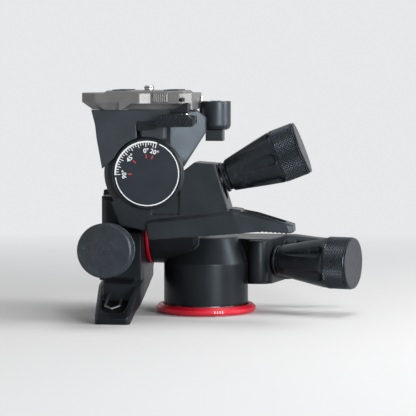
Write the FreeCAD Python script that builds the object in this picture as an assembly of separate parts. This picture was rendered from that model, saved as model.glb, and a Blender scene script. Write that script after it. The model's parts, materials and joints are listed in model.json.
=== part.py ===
"""Geared three-way tripod head.

The head is three worm-gear units stacked on one another. Every unit has a worm wheel on an
axle, a worm in a carrier that swings about a pin, a knob on the worm shaft, and a finger
paddle beside the knob. Squeezing the knob towards the paddle swings the worm out of the wheel.

Frame: origin at the centre of the base's bottom face, +Z up along the pan axis, -Y towards
the user who reads the side dial, +X towards the pan knob. Millimetres.

Each unit is drawn once in its own frame: the wheel's centre is the origin, X runs out along
the knob, Y is the wheel's axis and the worm lies below, at -Z.
"""
import FreeCAD
import Part
import math
import os

Vec = FreeCAD.Vector
Z_AXIS = Vec(0, 0, 1)
Y_AXIS = Vec(0, 1, 0)
X_AXIS = Vec(1, 0, 0)

# ---------------------------------------------------------------- running fits and gaps
RUN = 0.05              # radial clearance of a running fit
GAP = 0.3               # air between pieces that pass one another
CAST_GAP = 0.5          # air between the big castings

# ---------------------------------------------------------------- worm and wheel
TEETH = 36
MODULE = 0.75
PITCH = math.pi * MODULE
WHEEL_PITCH_R = TEETH * MODULE / 2
WORM_PITCH_R = 4.5
CENTRES = WHEEL_PITCH_R + WORM_PITCH_R      # worm axis below the wheel's centre
ADDENDUM_WHEEL = 0.55
ADDENDUM_WORM = 0.6
DEDENDUM = 0.85
BACKLASH = 0.22
FLANK = math.tan(math.radians(20))
WHEEL_WIDTH = 7.0
WORM_LENGTH = 11.0
AXLE_R = 7.0

# ---------------------------------------------------------------- worm shaft and carrier
JOURNAL_IN_R = 2.5
JOURNAL_OUT_R = 3.5
SHAFT_START = -14.5
KNOB_STUB_R = 3.0
BUSH_IN_R = 4.4
BUSH_OUT_R = 5.0
BUSH_IN_LENGTH = 4.0
BUSH_OUT_START = 17.0
BUSH_OUT_LENGTH = 11.0
CARRIER_WIDTH = 15.0
CARRIER_TOP = 5.2       # above the worm axis
CARRIER_DEPTH = 7.6     # below the worm axis
CARRIER_END = 30.0
SNOUT_WALL = 1.6
SNOUT_OUT = 6.0         # how far the snout stands out of the carrier
POCKET_HALF = 5.7       # half width and half length room around the worm
PIVOT_X = -18.5
PIVOT_R = 2.0
PIVOT_EYE_R = 4.6
PIN_SEAT = 1.7          # how deep each end of the pin sits in the casting
RELEASE_DEG = 5.0       # swing that clears the worm from the wheel
SPRING_WIRE = 0.9
SPRING_TURNS = 3
SPRING_R = 1.2
SPRING_X = -2.5

# ---------------------------------------------------------------- knob
COLLAR_START = 38.9
COLLAR_THICK = 1.4
COLLAR_STEP = 2.0
COLLAR_R = 8.9
COLLAR_SMALL_R = 8.2
GRIP_START = 42.2
GRIP_END = 72.6
GRIP_R_START = 9.4
GRIP_R_MID = 13.6
GRIP_R_END = 15.2
RING_R = 15.6
RING_END = 87.5
RING_WALL = 2.2
RING_ROUND = 1.8
CAP_SKIRT = 4.0
CAP_PROUD = 0.4
SHAFT_END = 70.0
SCALLOPS = 6
SCALLOP_R = 4.6
SCALLOP_DEPTH = 1.3

# ---------------------------------------------------------------- unit casting
UNIT_HALF = 13.5        # casting's half width across the wheel's axis
UNIT_HALF_SLIM = 11.2   # the same on a side where something else passes
CAVITY_WIDTH = 17.0
WHEEL_ROOM_R = 15.2
WHEEL_ROOM_HALF = 4.5
FACE_TOP_X = 38.2       # where the knob's neck leaves the casting
FACE_LOW_X = 36.2
FACE_TOP_Z = -9.0
SHELL_LOW = -34.0
SHELL_WALL = 2.6
PADDLE_TIP_X = 67.5
PADDLE_WALL = 2.4
PADDLE_TIP_WIDTH = 19.0
PADDLE_BEVEL = 3.6
RIB_R = 0.8
RIB_PITCH = 2.3
RIBS = 7
RIB_START = 48.5
RIB_LENGTH = 15.0

# ---------------------------------------------------------------- base and pan unit
BASE_R = 28.4
BASE_THICK = 3.0
BASE_SCREW_PCD = 32.0
BASE_SCREW_R = 1.5
BASE_SCREW_HEAD_R = 2.8
BASE_SCREW_LENGTH = 4.8
BASE_SCREWS = 3
SOCKET_R = 3.97         # 3/8 inch tripod thread, inner wall
SOCKET_BUSH_R = 6.6
SOCKET_DEPTH = 12.0
RING_OUT_R = 30.0
RING_IN_R = 25.9
RING_LOW = 0.6
RING_TOP = 5.4
PAN_R = 25.3
PAN_BOTTOM = RING_TOP + 0.4
PAN_SHOULDER = 30.5
PAN_TOP = 46.0
PAN_TOP_R = 19.0
PAN_UNIT_Z = 31.0
PAN_KNOB_DEG = -17.0    # the pan knob points right and a little to the front
PAN_FACE_ROUND = 7.0
SPINDLE_TOP = 43.0
SPINDLE_FLANGE_R = 22.0
SPINDLE_FLANGE = 3.2
BUSH_WALL = 2.5

# ---------------------------------------------------------------- tilt unit, axis along X
TILT_Z = 57.5
TILT_UNIT_X = -47.2
TILT_R = 28.0
TILT_NOSE_DEG = 3.0     # the knob points a little upwards
TILT_RING_THICK = 2.0
STUB_LEFT = -31.4       # left face of the pan body's side drum
STUB_RIGHT = -2.0
HOUSING_CUT_Z = TILT_Z + WHEEL_ROOM_R + 1.9     # flat top of the drum, a wall above the wheel's room
BRIDGE_TOP_Z = TILT_Z + 14.5
HOUSING_LEFT = TILT_UNIT_X - UNIT_HALF_SLIM
BRIDGE_LEFT = -56.4
BRIDGE_FRONT = -44.0
BRIDGE_LOW_Z = TILT_Z - 3.9      # clears the top of the tilt knob's grip
COVER_THICK = 1.2
COVER_R = 20.0
COVER_SCREW_PCD = 33.0
COVER_SCREW_R = 1.2
COVER_SCREW_HEAD_R = 2.2
COVER_SCREW_HEAD = 1.1
COVER_SCREW_LENGTH = UNIT_HALF_SLIM - CAVITY_WIDTH / 2 - GAP
CLIP_WIRE = 1.4

# ---------------------------------------------------------------- side unit, axis along Y
SIDE_X = -27.2
SIDE_UNIT_Y = -43.0
SIDE_Z = TILT_Z + 28.7
SIDE_KNOB_DEG = 21.2    # the knob points up to the right
SIDE_DRUM_R = 18.0      # over the wheel, up and to the right
SIDE_BODY_R = 26.5      # towards the tilt housing, down and to the left
SIDE_BACK = SIDE_UNIT_Y + UNIT_HALF_SLIM
SIDE_FRONT = -50.6
DIAL_BOSS_R = 20.6
DIAL_BOSS_FRONT = -57.0
DIAL_R = 19.3
POCKET_LOW = 23.9       # recess in the front face, between the dial's boss and the worm housing
POCKET_RIGHT = 18.4
POCKET_FLOOR = SIDE_UNIT_Y - CAVITY_WIDTH / 2 - 1.1
DIAL_THICK = 1.6
DIAL_PROUD = 0.6

# ---------------------------------------------------------------- platform
SEAT_Z = SIDE_Z + 36.6
SEAT_THICK = 9.5
SEAT_TOP = SEAT_Z + SEAT_THICK
SEAT_LEFT = SIDE_X - 42.0
SEAT_RIGHT = SIDE_X + 25.6
SEAT_FRONT = -60.0
SEAT_SLANT_UP = 4.4      # height of the slanted underside at the left
SEAT_SLANT_LEFT = 0.09   # how much narrower the seat is at its underside, as a share
SEAT_SLANT_FRONT = 0.045
SEAT_REAR = 0.0
NECK_REAR_FRONT = SIDE_BACK + CAST_GAP
NECK_REAR_BACK = -22.6
NECK_HUB_R = 10.4
NECK_LEFT_REAR = -11.4
SKIRT_FRONT = -57.4
SKIRT_BACK = -54.5
FRONT_RELIEF = -54.0    # front face of the side housing where the skirt swings over it
SKIRT_CLEAR_R = 21.2
ROOF_LOW = 28.4
PLATE_SUNK = 5.0        # how deep the camera plate sits in the seat
PLATE_PROUD = 1.5
PLATE_TOP = SEAT_TOP + PLATE_PROUD
PAD_SUNK = 0.8
PAD_PROUD = 0.5
PAD_WIDTH = 8.0
PAD_PLACE = 15.0        # from the plate's middle
PAD_END = 4.0           # from the plate's edge
PLATE_SIZE_X = 46.0
PLATE_SIZE_Y = 42.0
PLATE_X = -29.6
PLATE_Y = -32.0
CAMERA_SCREW_R = 3.175
CAMERA_SCREW_OUT = 2.8  # spring-loaded, drawn back until it meets a camera
CAMERA_SHANK_R = 2.5
CAMERA_HEAD_R = 8.0
CAMERA_HEAD = 2.4
CAMERA_HEAD_UP = 1.1    # from the seat's floor to the screw's head
CAMERA_RELIEF = 0.3     # plain neck under the thread
CUP_X = SEAT_RIGHT + 9.5
CUP_Y = -16.0
CUP_R = 8.8
CUP_LOW = SEAT_Z - 12.5
CUP_HEIGHT = 16.9
CUP_TOP = CUP_LOW + CUP_HEIGHT
CUP_WALL = 1.4
CUP_DEPTH = 7.0
LEVER_PIVOT_X = SEAT_RIGHT - 4.0
LEVER_PIVOT_Y = -50.0
LEVER_Z = SEAT_Z - 4.2
LEVER_EYE_R = 4.5
LEVER_PIN_R = 1.5
LEVER_PIN_DEPTH = 4.0   # how deep the pin sits in the seat
CATCH_X = SIDE_X + 17.5
CATCH_THICK = 3.1
CATCH_STEM = 2.0
CATCH_TRAVEL = 3.0
CATCH_SLOT_UP = 5.0     # from the seat's underside to the catch's slot


# ================================================================ drawing helpers
def rod(radius, start, length, along=Z_AXIS, centre=(0, 0)):
    """Cylinder whose axis is parallel to a main axis, from start to start + length."""
    a, b = centre
    if along == X_AXIS:
        foot = Vec(start, a, b)
    elif along == Y_AXIS:
        foot = Vec(a, start, b)
    else:
        foot = Vec(a, b, start)
    return Part.makeCylinder(radius, length, foot, along)


def tube(outer, inner, start, length, along=Z_AXIS, centre=(0, 0)):
    return rod(outer, start, length, along, centre).cut(rod(inner, start - 1, length + 2, along, centre))


def block(low, high):
    size = [b - a for a, b in zip(low, high)]
    return Part.makeBox(size[0], size[1], size[2], Vec(*low))


def face_xz(points, y=0.0):
    ring = [Vec(x, y, z) for x, z in points]
    return Part.Face(Part.makePolygon(ring + ring[:1]))


def plate_xz(points, y_low, y_high):
    """Outline in the XZ plane, extruded along Y."""
    return face_xz(points, y_low).extrude(Vec(0, y_high - y_low, 0))


def plate_xy(points, z_low, z_high):
    ring = [Vec(x, y, z_low) for x, y in points]
    return Part.Face(Part.makePolygon(ring + ring[:1])).extrude(Vec(0, 0, z_high - z_low))


def turned(profile, along=Z_AXIS, centre=Vec(0, 0, 0)):
    """Closed profile of (radius, height) points, turned about an axis."""
    ring = [Vec(r, 0, h) for r, h in profile]
    solid = Part.Face(Part.makePolygon(ring + ring[:1])).revolve(Vec(0, 0, 0), Z_AXIS, 360)
    solid.Placement = FreeCAD.Placement(centre, FreeCAD.Rotation(Z_AXIS, along))
    return solid


def joined(first, *others):
    shape = first
    for other in others:
        shape = shape.fuse(other)
    return shape.removeSplitter()


def rounded(shape, radius, chosen):
    """Fillet the edges that chosen() picks."""
    edges = [edge for edge in shape.Edges if chosen(edge)]
    return shape.makeFillet(radius, edges) if edges else shape


def upright(edge):
    """True for a straight edge parallel to Z."""
    a, b = edge.firstVertex().Point, edge.lastVertex().Point
    return abs(a.x - b.x) < 1e-6 and abs(a.y - b.y) < 1e-6 and abs(a.z - b.z) > 1e-6


def placed(shape, placement):
    copy = shape.copy()
    copy.Placement = placement.multiply(copy.Placement)
    return copy


def frame_from(origin, x_dir, z_dir):
    """Placement whose X and Z point along the two given directions."""
    rotation = FreeCAD.Rotation(x_dir, z_dir.cross(x_dir), z_dir, "ZXY")
    return FreeCAD.Placement(origin, rotation)


def unit_frames():
    """Where each of the three worm units stands in the head."""
    pan = math.radians(PAN_KNOB_DEG)
    nose = math.radians(TILT_NOSE_DEG)
    side = math.radians(SIDE_KNOB_DEG)
    return {
        "pan": frame_from(Vec(0, 0, PAN_UNIT_Z), Vec(math.cos(pan), math.sin(pan), 0),
                          Vec(math.sin(pan), -math.cos(pan), 0)),
        "tilt": frame_from(Vec(TILT_UNIT_X, 0, TILT_Z), Vec(0, -math.cos(nose), math.sin(nose)),
                           Vec(0, math.sin(nose), math.cos(nose))),
        "side": frame_from(Vec(SIDE_X, SIDE_UNIT_Y, SIDE_Z), Vec(math.cos(side), 0, math.sin(side)),
                           Vec(-math.sin(side), 0, math.cos(side))),
    }


# ================================================================ worm wheel and worm
def tooth_outline(turn):
    """Wheel outline with a gap at the bottom, turned by a small angle."""
    half = PITCH / 4 - BACKLASH / 4
    tip_r = WHEEL_PITCH_R + ADDENDUM_WHEEL
    root_r = WHEEL_PITCH_R - DEDENDUM
    tip_half = (half - ADDENDUM_WHEEL * FLANK) / tip_r
    root_half = (half + DEDENDUM * FLANK) / root_r
    points = []
    for k in range(TEETH):
        middle = -math.pi / 2 + (k + 0.5) * 2 * math.pi / TEETH + turn
        for radius, angle in ((root_r, middle - root_half), (tip_r, middle - tip_half),
                              (tip_r, middle + tip_half), (root_r, middle + root_half)):
            points.append((radius * math.cos(angle), radius * math.sin(angle)))
    return points


def worm_wheel():
    lead_angle = math.atan(PITCH / (2 * math.pi * WORM_PITCH_R))
    twist = WHEEL_WIDTH * math.tan(lead_angle) / WHEEL_PITCH_R
    ends = []
    for y, turn in ((-WHEEL_WIDTH / 2, twist / 2), (WHEEL_WIDTH / 2, -twist / 2)):
        ring = [Vec(x, y, z) for x, z in tooth_outline(turn)]
        ends.append(Part.makePolygon(ring + ring[:1]))
    wheel = Part.makeLoft(ends, True, True)
    return wheel.cut(rod(AXLE_R, -WHEEL_WIDTH, 2 * WHEEL_WIDTH, Y_AXIS))


def worm_thread():
    """The helical ridge about Z, with a crest at height 0 on the -X side."""
    half = PITCH / 4 - BACKLASH / 4
    sink = 0.15
    root_r = WORM_PITCH_R - DEDENDUM - sink
    tip_r = WORM_PITCH_R + ADDENDUM_WORM
    root_half = half + (DEDENDUM + sink) * FLANK
    tip_half = half - ADDENDUM_WORM * FLANK
    turns = math.floor((WORM_LENGTH - PITCH) / PITCH)
    start = -(math.floor(turns / 2) + 0.5) * PITCH
    helix = Part.makeHelix(PITCH, turns * PITCH, WORM_PITCH_R)
    points = [Vec(root_r, 0, -root_half), Vec(tip_r, 0, -tip_half),
              Vec(tip_r, 0, tip_half), Vec(root_r, 0, root_half)]
    profile = Part.makePolygon(points + points[:1])
    thread = Part.Wire(helix).makePipeShell([profile], True, True)
    thread.translate(Vec(0, 0, start))
    return thread


def worm_shaft():
    worm_root = WORM_PITCH_R - DEDENDUM
    half = WORM_LENGTH / 2
    profile = [(0, SHAFT_START), (JOURNAL_IN_R, SHAFT_START), (JOURNAL_IN_R, -half - 1.5),
               (worm_root, -half - 1.5), (worm_root, half + 1.5), (JOURNAL_OUT_R, half + 1.5),
               (JOURNAL_OUT_R, GRIP_START), (KNOB_STUB_R, GRIP_START), (KNOB_STUB_R, SHAFT_END),
               (0, SHAFT_END)]
    core = turned(profile)
    shaft = core.fuse(worm_thread())
    lay_down = FreeCAD.Placement(Vec(0, 0, -CENTRES), FreeCAD.Rotation(Y_AXIS, 90))
    return placed(shaft, lay_down)


# ================================================================ carrier, bushes, pin, spring
def worm_bushes():
    inner = tube(BUSH_IN_R, JOURNAL_IN_R + RUN, SHAFT_START + GAP, BUSH_IN_LENGTH, X_AXIS, (0, -CENTRES))
    outer = tube(BUSH_OUT_R, JOURNAL_OUT_R + RUN, BUSH_OUT_START, BUSH_OUT_LENGTH, X_AXIS, (0, -CENTRES))
    return Part.makeCompound([inner, outer])


def worm_carrier():
    half = CARRIER_WIDTH / 2
    low, high = -CENTRES - CARRIER_DEPTH, -CENTRES + CARRIER_TOP
    outline = [(PIVOT_X, low + 2), (PIVOT_X + 6, low), (CARRIER_END, low), (CARRIER_END, high - 2),
               (CARRIER_END - 2, high), (PIVOT_X + 6, high), (PIVOT_X, high - 2)]
    body = plate_xz(outline, -half, half)
    eye = rod(PIVOT_EYE_R, -half, CARRIER_WIDTH, Y_AXIS, (PIVOT_X, -CENTRES))
    snout_start = BUSH_OUT_START - SNOUT_WALL
    snout_length = CARRIER_END + SNOUT_OUT - snout_start
    snout = rod(BUSH_OUT_R + SNOUT_WALL, snout_start, snout_length, X_AXIS, (0, -CENTRES))
    body = joined(body, eye, snout)
    room = WORM_LENGTH / 2 + 3.0
    pocket = block((-room, -POCKET_HALF, low + 1.6), (room, POCKET_HALF, high + 1))
    seat_in = rod(BUSH_IN_R, SHAFT_START - GAP, room + 1 - SHAFT_START, X_AXIS, (0, -CENTRES))
    seat_out = rod(BUSH_OUT_R, BUSH_OUT_START, BUSH_OUT_LENGTH, X_AXIS, (0, -CENTRES))
    bore = rod(JOURNAL_OUT_R + 0.4, 0, CARRIER_END + 9, X_AXIS, (0, -CENTRES))
    eye_bore = rod(PIVOT_R + RUN, -half - 1, CARRIER_WIDTH + 2, Y_AXIS, (PIVOT_X, -CENTRES))
    for tool in (pocket, seat_in, seat_out, bore, eye_bore):
        body = body.cut(tool)
    return body


def pivot_pin():
    reach = CAVITY_WIDTH / 2 + PIN_SEAT
    return rod(PIVOT_R, -reach, 2 * reach, Y_AXIS, (PIVOT_X, -CENTRES))


def release_spring():
    """Flat-wound return spring under the carrier: three wire rings joined by a straight leg."""
    leg_r = SPRING_WIRE / 2 + 0.1
    leg_z = -CENTRES - CARRIER_DEPTH - leg_r
    rings = None
    for k in range(SPRING_TURNS):
        x = SPRING_X + k * 2.2 * SPRING_WIRE
        ring = Part.makeTorus(SPRING_R, SPRING_WIRE / 2, Vec(x, 0, leg_z - SPRING_R), X_AXIS)
        rings = ring if rings is None else rings.fuse(ring)
    leg_start = SPRING_X - 0.2
    leg_length = (SPRING_TURNS - 1) * 2.2 * SPRING_WIRE + 14.2
    leg = rod(leg_r, leg_start, leg_length, X_AXIS, (0, leg_z))
    return rings.fuse(leg)


# ================================================================ knob
def knob_collars():
    first = tube(COLLAR_R, JOURNAL_OUT_R, COLLAR_START, COLLAR_THICK, X_AXIS, (0, -CENTRES))
    second = tube(COLLAR_SMALL_R, JOURNAL_OUT_R, COLLAR_START + COLLAR_STEP, GRIP_START - COLLAR_START
                  - COLLAR_STEP, X_AXIS, (0, -CENTRES))
    return Part.makeCompound([first, second])


def knob_grip():
    """Tapered grip with long tear-drop recesses around it."""
    length = GRIP_END - GRIP_START
    profile = [(KNOB_STUB_R, 0), (GRIP_R_START - 0.8, 0), (GRIP_R_START, 0.8), (GRIP_R_MID, length * 0.68),
               (GRIP_R_END, length * 0.95), (GRIP_R_END, length), (KNOB_STUB_R, length)]
    grip = turned(profile, X_AXIS, Vec(GRIP_START, 0, -CENTRES))
    slope = math.degrees(math.atan((GRIP_R_MID - GRIP_R_START) / (length * 0.68)))
    start_r = GRIP_R_START + SCALLOP_R - SCALLOP_DEPTH
    for k in range(SCALLOPS):
        cutter = Part.makeCone(SCALLOP_R * 0.55, SCALLOP_R, length * 0.72, Vec(0, 0, 0), X_AXIS)
        cutter = cutter.fuse(Part.makeSphere(SCALLOP_R, Vec(length * 0.72, 0, 0)))
        cutter = cutter.fuse(Part.makeSphere(SCALLOP_R * 0.55, Vec(0, 0, 0)))
        cutter.rotate(Vec(0, 0, 0), Y_AXIS, -slope)
        cutter.translate(Vec(GRIP_START + 5, 0, start_r - CENTRES))
        cutter.rotate(Vec(0, 0, -CENTRES), X_AXIS, (k + 0.5) * 360 / SCALLOPS)
        grip = grip.cut(cutter)
    return grip


def knob_ring():
    length = RING_END - GRIP_END
    profile = [(RING_R - RING_WALL, 0), (RING_R - 0.3, 0), (RING_R, 0.5), (RING_R, length - RING_ROUND),
               (RING_R - RING_ROUND * 0.3, length - RING_ROUND * 0.3), (RING_R - RING_ROUND, length),
               (RING_R - RING_WALL, length)]
    return turned(profile, X_AXIS, Vec(GRIP_END, 0, -CENTRES))


def knob_cap():
    length = RING_END - GRIP_END
    radius = RING_R - RING_WALL
    profile = [(0, length - 3), (radius - 2, length - 3), (radius - 2, length - 3 - CAP_SKIRT),
               (radius, length - 3 - CAP_SKIRT), (radius, length), (radius - CAP_PROUD, length + CAP_PROUD),
               (0, length + CAP_PROUD)]
    return turned(profile, X_AXIS, Vec(GRIP_END, 0, -CENTRES))


# ================================================================ shared parts of a unit casting
def paddle_outline(drop=0.0):
    """Side view of the web and paddle; drop lowers the open top edge for the bevel."""
    return [(-13, -24 - drop), (-13, -36), (18, -45.5), (50, -54.8), (64.5, -61.4), (66.3, -61.6),
            (PADDLE_TIP_X, -57.8 - drop * 0.5), (50.5, -44.6 - drop), (42, -38.6 - drop),
            (38.2, -36.4 - drop), (-8, -24 - drop)]


def paddle_plan(front, rear, inset=0.0):
    """Plan of the paddle: full width at the root, narrower at the tip."""
    tip = PADDLE_TIP_WIDTH / 2 - inset
    end = PADDLE_TIP_X + 2 - inset * 2.2
    middle = (rear - front) / 2
    low, high = middle - tip, middle + tip
    return [(-40, inset - front), (38, inset - front), (end - 5, low - 0.6), (end - 1.6, low + 1.2),
            (end, low + 4.5), (end, high - 4.5), (end - 1.6, high - 1.2), (end - 5, high + 0.6),
            (38, rear - inset), (-40, rear - inset)]


def paddle(front, rear):
    """Web under the worm housing that runs out into a hollow finger paddle."""
    sections = []
    for y, drop in ((-front, PADDLE_BEVEL), (PADDLE_BEVEL - front, 0), (rear - PADDLE_BEVEL, 0),
                    (rear, PADDLE_BEVEL)):
        ring = [Vec(x, y, z) for x, z in paddle_outline(drop)]
        sections.append(Part.makePolygon(ring + ring[:1]))
    solid = Part.makeLoft(sections, True, True)
    solid = solid.common(plate_xy(paddle_plan(front, rear), -80, 0))
    middle = (rear - front) / 2
    for k in range(RIBS):
        x = RIB_START + k * RIB_PITCH
        z = -54.8 - (x - 50) * 6.6 / 14.5 if x > 50 else -54.8 + (50 - x) * 9.3 / 32
        solid = solid.fuse(rod(RIB_R, middle - RIB_LENGTH / 2, RIB_LENGTH, Y_AXIS, (x, z + 0.15)))
    trough = plate_xz([(42.5, -30), (42.5, -48.6), (50, -50.8), (60, -55.2), (63.6, -55.0), (66, -50), (66, -30)],
                      -front, rear)
    trough = trough.common(plate_xy(paddle_plan(front, rear, PADDLE_WALL), -80, 0))
    return solid.cut(trough)


def worm_shell(front, rear):
    """Outside of the housing that covers the worm."""
    back = PIVOT_X - PIVOT_EYE_R - CAST_GAP - SHELL_WALL
    outline = [(back, -8), (8, -4.5), (14, -7), (20.5, -5.8), (27.4, -3.8), (FACE_TOP_X, FACE_TOP_Z),
               (FACE_LOW_X, SHELL_LOW - 3), (PIVOT_X + 10.5, SHELL_LOW), (back, SHELL_LOW + 12)]
    return plate_xz(outline, -front, rear)


def unit_room():
    """Everything that is hollow inside a unit casting."""
    wheel_room = rod(WHEEL_ROOM_R, -WHEEL_ROOM_HALF, 2 * WHEEL_ROOM_HALF, Y_AXIS)
    half = CAVITY_WIDTH / 2
    high = -CENTRES + CARRIER_TOP + 0.6
    low = -CENTRES - CARRIER_DEPTH
    lost = (CARRIER_END - PIVOT_X) * math.sin(math.radians(RELEASE_DEG)) + 1.6
    outline = [(PIVOT_X - 1, low + 0.9), (PIVOT_X + 7.5, low - 1.6), (PIVOT_X + 14.5, low - lost),
               (CARRIER_END + 1.2, low - lost), (CARRIER_END + 1.2, high), (PIVOT_X, high)]
    worm_room = plate_xz(outline, -half, half)
    worm_room = worm_room.fuse(rod(high + CENTRES, -half, 2 * half, Y_AXIS, (PIVOT_X, -CENTRES)))
    neck = BUSH_OUT_R + SNOUT_WALL + CAST_GAP
    back = BUSH_OUT_START - SNOUT_WALL - CAST_GAP
    reach = FACE_TOP_X + 6 - back
    drop = (FACE_TOP_X - PIVOT_X) * math.sin(math.radians(RELEASE_DEG)) + 0.6
    mouth = rod(neck, back, reach, X_AXIS, (0, -CENTRES))
    mouth = mouth.fuse(rod(neck, back, reach, X_AXIS, (0, -CENTRES - drop)))
    mouth = mouth.fuse(block((back, -neck, -CENTRES - drop), (back + reach, neck, -CENTRES)))
    return wheel_room.fuse(worm_room).fuse(mouth).fuse(pivot_pin())


# ================================================================ base body
def base_plate():
    plate = turned([(0, 0), (BASE_R - 0.6, 0), (BASE_R, 0.6), (BASE_R, BASE_THICK), (0, BASE_THICK)])
    plate = plate.cut(turned([(RING_IN_R, RING_LOW), (BASE_R + 2, RING_LOW), (BASE_R + 2, 9), (RING_IN_R, 9)]))
    plate = plate.cut(rod(SOCKET_BUSH_R, -1, BASE_THICK + 2))
    for x, y in screw_places(BASE_SCREW_PCD / 2, BASE_SCREWS, 30):
        plate = plate.cut(rod(BASE_SCREW_R, -1, 9, Z_AXIS, (x, y)))
        sink = BASE_SCREW_HEAD_R - BASE_SCREW_R
        plate = plate.cut(Part.makeCone(BASE_SCREW_HEAD_R, BASE_SCREW_R, sink, Vec(x, y, 0)))
    return plate


def screw_places(radius, count, start_deg):
    for k in range(count):
        angle = math.radians(start_deg + 360 * k / count)
        yield radius * math.cos(angle), radius * math.sin(angle)


def base_screws():
    screws = []
    depth = BASE_SCREW_HEAD_R - BASE_SCREW_R
    for x, y in screw_places(BASE_SCREW_PCD / 2, BASE_SCREWS, 30):
        screw = Part.makeCone(BASE_SCREW_HEAD_R, BASE_SCREW_R, depth, Vec(x, y, 0))
        screw = screw.fuse(rod(BASE_SCREW_R, depth, BASE_SCREW_LENGTH - depth, Z_AXIS, (x, y)))
        screw = screw.cut(rod(1.0, -0.1, 1.0, Z_AXIS, (x, y)))
        screws.append(screw)
    return Part.makeCompound(screws)


def socket_bush():
    return tube(SOCKET_BUSH_R, SOCKET_R, 0, SOCKET_DEPTH)


def pan_scale_ring():
    return turned([(RING_IN_R, RING_LOW), (RING_OUT_R - 1.2, RING_LOW), (RING_OUT_R, RING_LOW + 1.4),
                   (RING_OUT_R, RING_TOP - 1.6), (RING_OUT_R - 1.8, RING_TOP), (RING_IN_R, RING_TOP)])


def pan_spindle():
    low_face = PAN_UNIT_Z - WHEEL_WIDTH / 2
    profile = [(0, BASE_THICK), (SPINDLE_FLANGE_R, BASE_THICK), (SPINDLE_FLANGE_R, BASE_THICK + SPINDLE_FLANGE),
               (12, BASE_THICK + SPINDLE_FLANGE), (12, low_face - 4), (9.4, low_face - 2), (9.4, low_face),
               (AXLE_R, low_face), (AXLE_R, SPINDLE_TOP), (0, SPINDLE_TOP)]
    spindle = turned(profile).cut(rod(SOCKET_BUSH_R, 0, SOCKET_DEPTH))
    for x, y in screw_places(BASE_SCREW_PCD / 2, BASE_SCREWS, 30):
        spindle = spindle.cut(rod(BASE_SCREW_R, 0, BASE_SCREW_LENGTH, Z_AXIS, (x, y)))
    return spindle


# ================================================================ pan body
def pan_housing(frame):
    body = turned([(0, PAN_BOTTOM), (PAN_R, PAN_BOTTOM), (PAN_R, PAN_SHOULDER), (PAN_TOP_R, PAN_TOP),
                   (0, PAN_TOP)])
    drum = rod(TILT_R, STUB_LEFT, STUB_RIGHT - STUB_LEFT, X_AXIS, (0, TILT_Z))
    drum = drum.makeChamfer(2.5, [e for e in drum.Edges if abs(e.CenterOfMass.x - STUB_RIGHT) < 0.01
                                  and len(e.Vertexes) == 1])
    shell = worm_shell(UNIT_HALF, UNIT_HALF)
    corner = [e for e in shell.Edges if abs(e.CenterOfMass.x - FACE_TOP_X) < 0.01
              and abs(e.CenterOfMass.z - FACE_TOP_Z) < 0.01]
    shell = shell.makeFillet(PAN_FACE_ROUND, corner)
    unit = joined(shell, paddle(UNIT_HALF, UNIT_HALF))
    body = joined(body, drum, placed(unit, frame))
    body = body.cut(placed(unit_room(), frame))
    body = body.cut(turned([(0, 0), (24.0, 0), (24.0, BASE_THICK + SPINDLE_FLANGE + 3), (WHEEL_ROOM_R, 14),
                            (WHEEL_ROOM_R, PAN_UNIT_Z + WHEEL_ROOM_HALF), (0, PAN_UNIT_Z + WHEEL_ROOM_HALF)]))
    body = body.cut(rod(AXLE_R + BUSH_WALL, PAN_UNIT_Z + WHEEL_ROOM_HALF - 1, SPINDLE_TOP + 1.5 - PAN_UNIT_Z
                        - WHEEL_ROOM_HALF))
    body = body.cut(rod(AXLE_R, STUB_LEFT - 1, 20, X_AXIS, (0, TILT_Z)))
    return body


def pan_bush():
    start = PAN_UNIT_Z + WHEEL_ROOM_HALF
    return tube(AXLE_R + BUSH_WALL, AXLE_R + RUN, start, SPINDLE_TOP - 1 - start)


def tilt_red_ring():
    ring = turned([(AXLE_R, 0), (TILT_R, 0), (TILT_R + 0.4, 0.5), (TILT_R + 0.4, TILT_RING_THICK - 0.5),
                   (TILT_R, TILT_RING_THICK), (AXLE_R, TILT_RING_THICK)], X_AXIS,
                  Vec(STUB_LEFT - TILT_RING_THICK, 0, TILT_Z))
    return ring


def tilt_axle():
    return rod(AXLE_R, HOUSING_LEFT + 3.6, STUB_LEFT + 19 - HOUSING_LEFT - 3.6, X_AXIS, (0, TILT_Z))


# ================================================================ arm body
def tilt_housing(frame, other):
    """Housing of the tilt unit, left of the pan body. The side housing seats on it."""
    right = STUB_LEFT - TILT_RING_THICK - GAP
    drum = rod(TILT_R, HOUSING_LEFT, right - HOUSING_LEFT, X_AXIS, (0, TILT_Z))
    drum = drum.cut(block((HOUSING_LEFT - 1, -40, HOUSING_CUT_Z), (right + 1, 40, 120)))
    bridge = block((BRIDGE_LEFT, BRIDGE_FRONT, BRIDGE_LOW_Z), (right, -6, BRIDGE_TOP_Z))
    bridge = bridge.makeChamfer(3.0, [e for e in bridge.Edges if abs(e.CenterOfMass.y - BRIDGE_FRONT) < 0.01])
    unit = joined(worm_shell(UNIT_HALF_SLIM, UNIT_HALF), paddle(UNIT_HALF_SLIM, UNIT_HALF))
    body = joined(drum, bridge, placed(unit, frame))
    body = body.cut(other)
    body = body.cut(placed(unit_room(), frame))
    body = body.cut(rod(AXLE_R + BUSH_WALL, TILT_UNIT_X, right + 1 - TILT_UNIT_X, X_AXIS, (0, TILT_Z)))
    body = body.cut(rod(AXLE_R + RUN, HOUSING_LEFT + 2, 30, X_AXIS, (0, TILT_Z)))
    body = body.cut(rod(COVER_R, HOUSING_LEFT - 1, 1 + COVER_THICK, X_AXIS, (0, TILT_Z)))
    for y, z in screw_places(COVER_SCREW_PCD / 2, 4, 45):
        body = body.cut(rod(COVER_SCREW_R, HOUSING_LEFT, COVER_SCREW_LENGTH, X_AXIS, (y, z + TILT_Z)))
    return body


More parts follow.
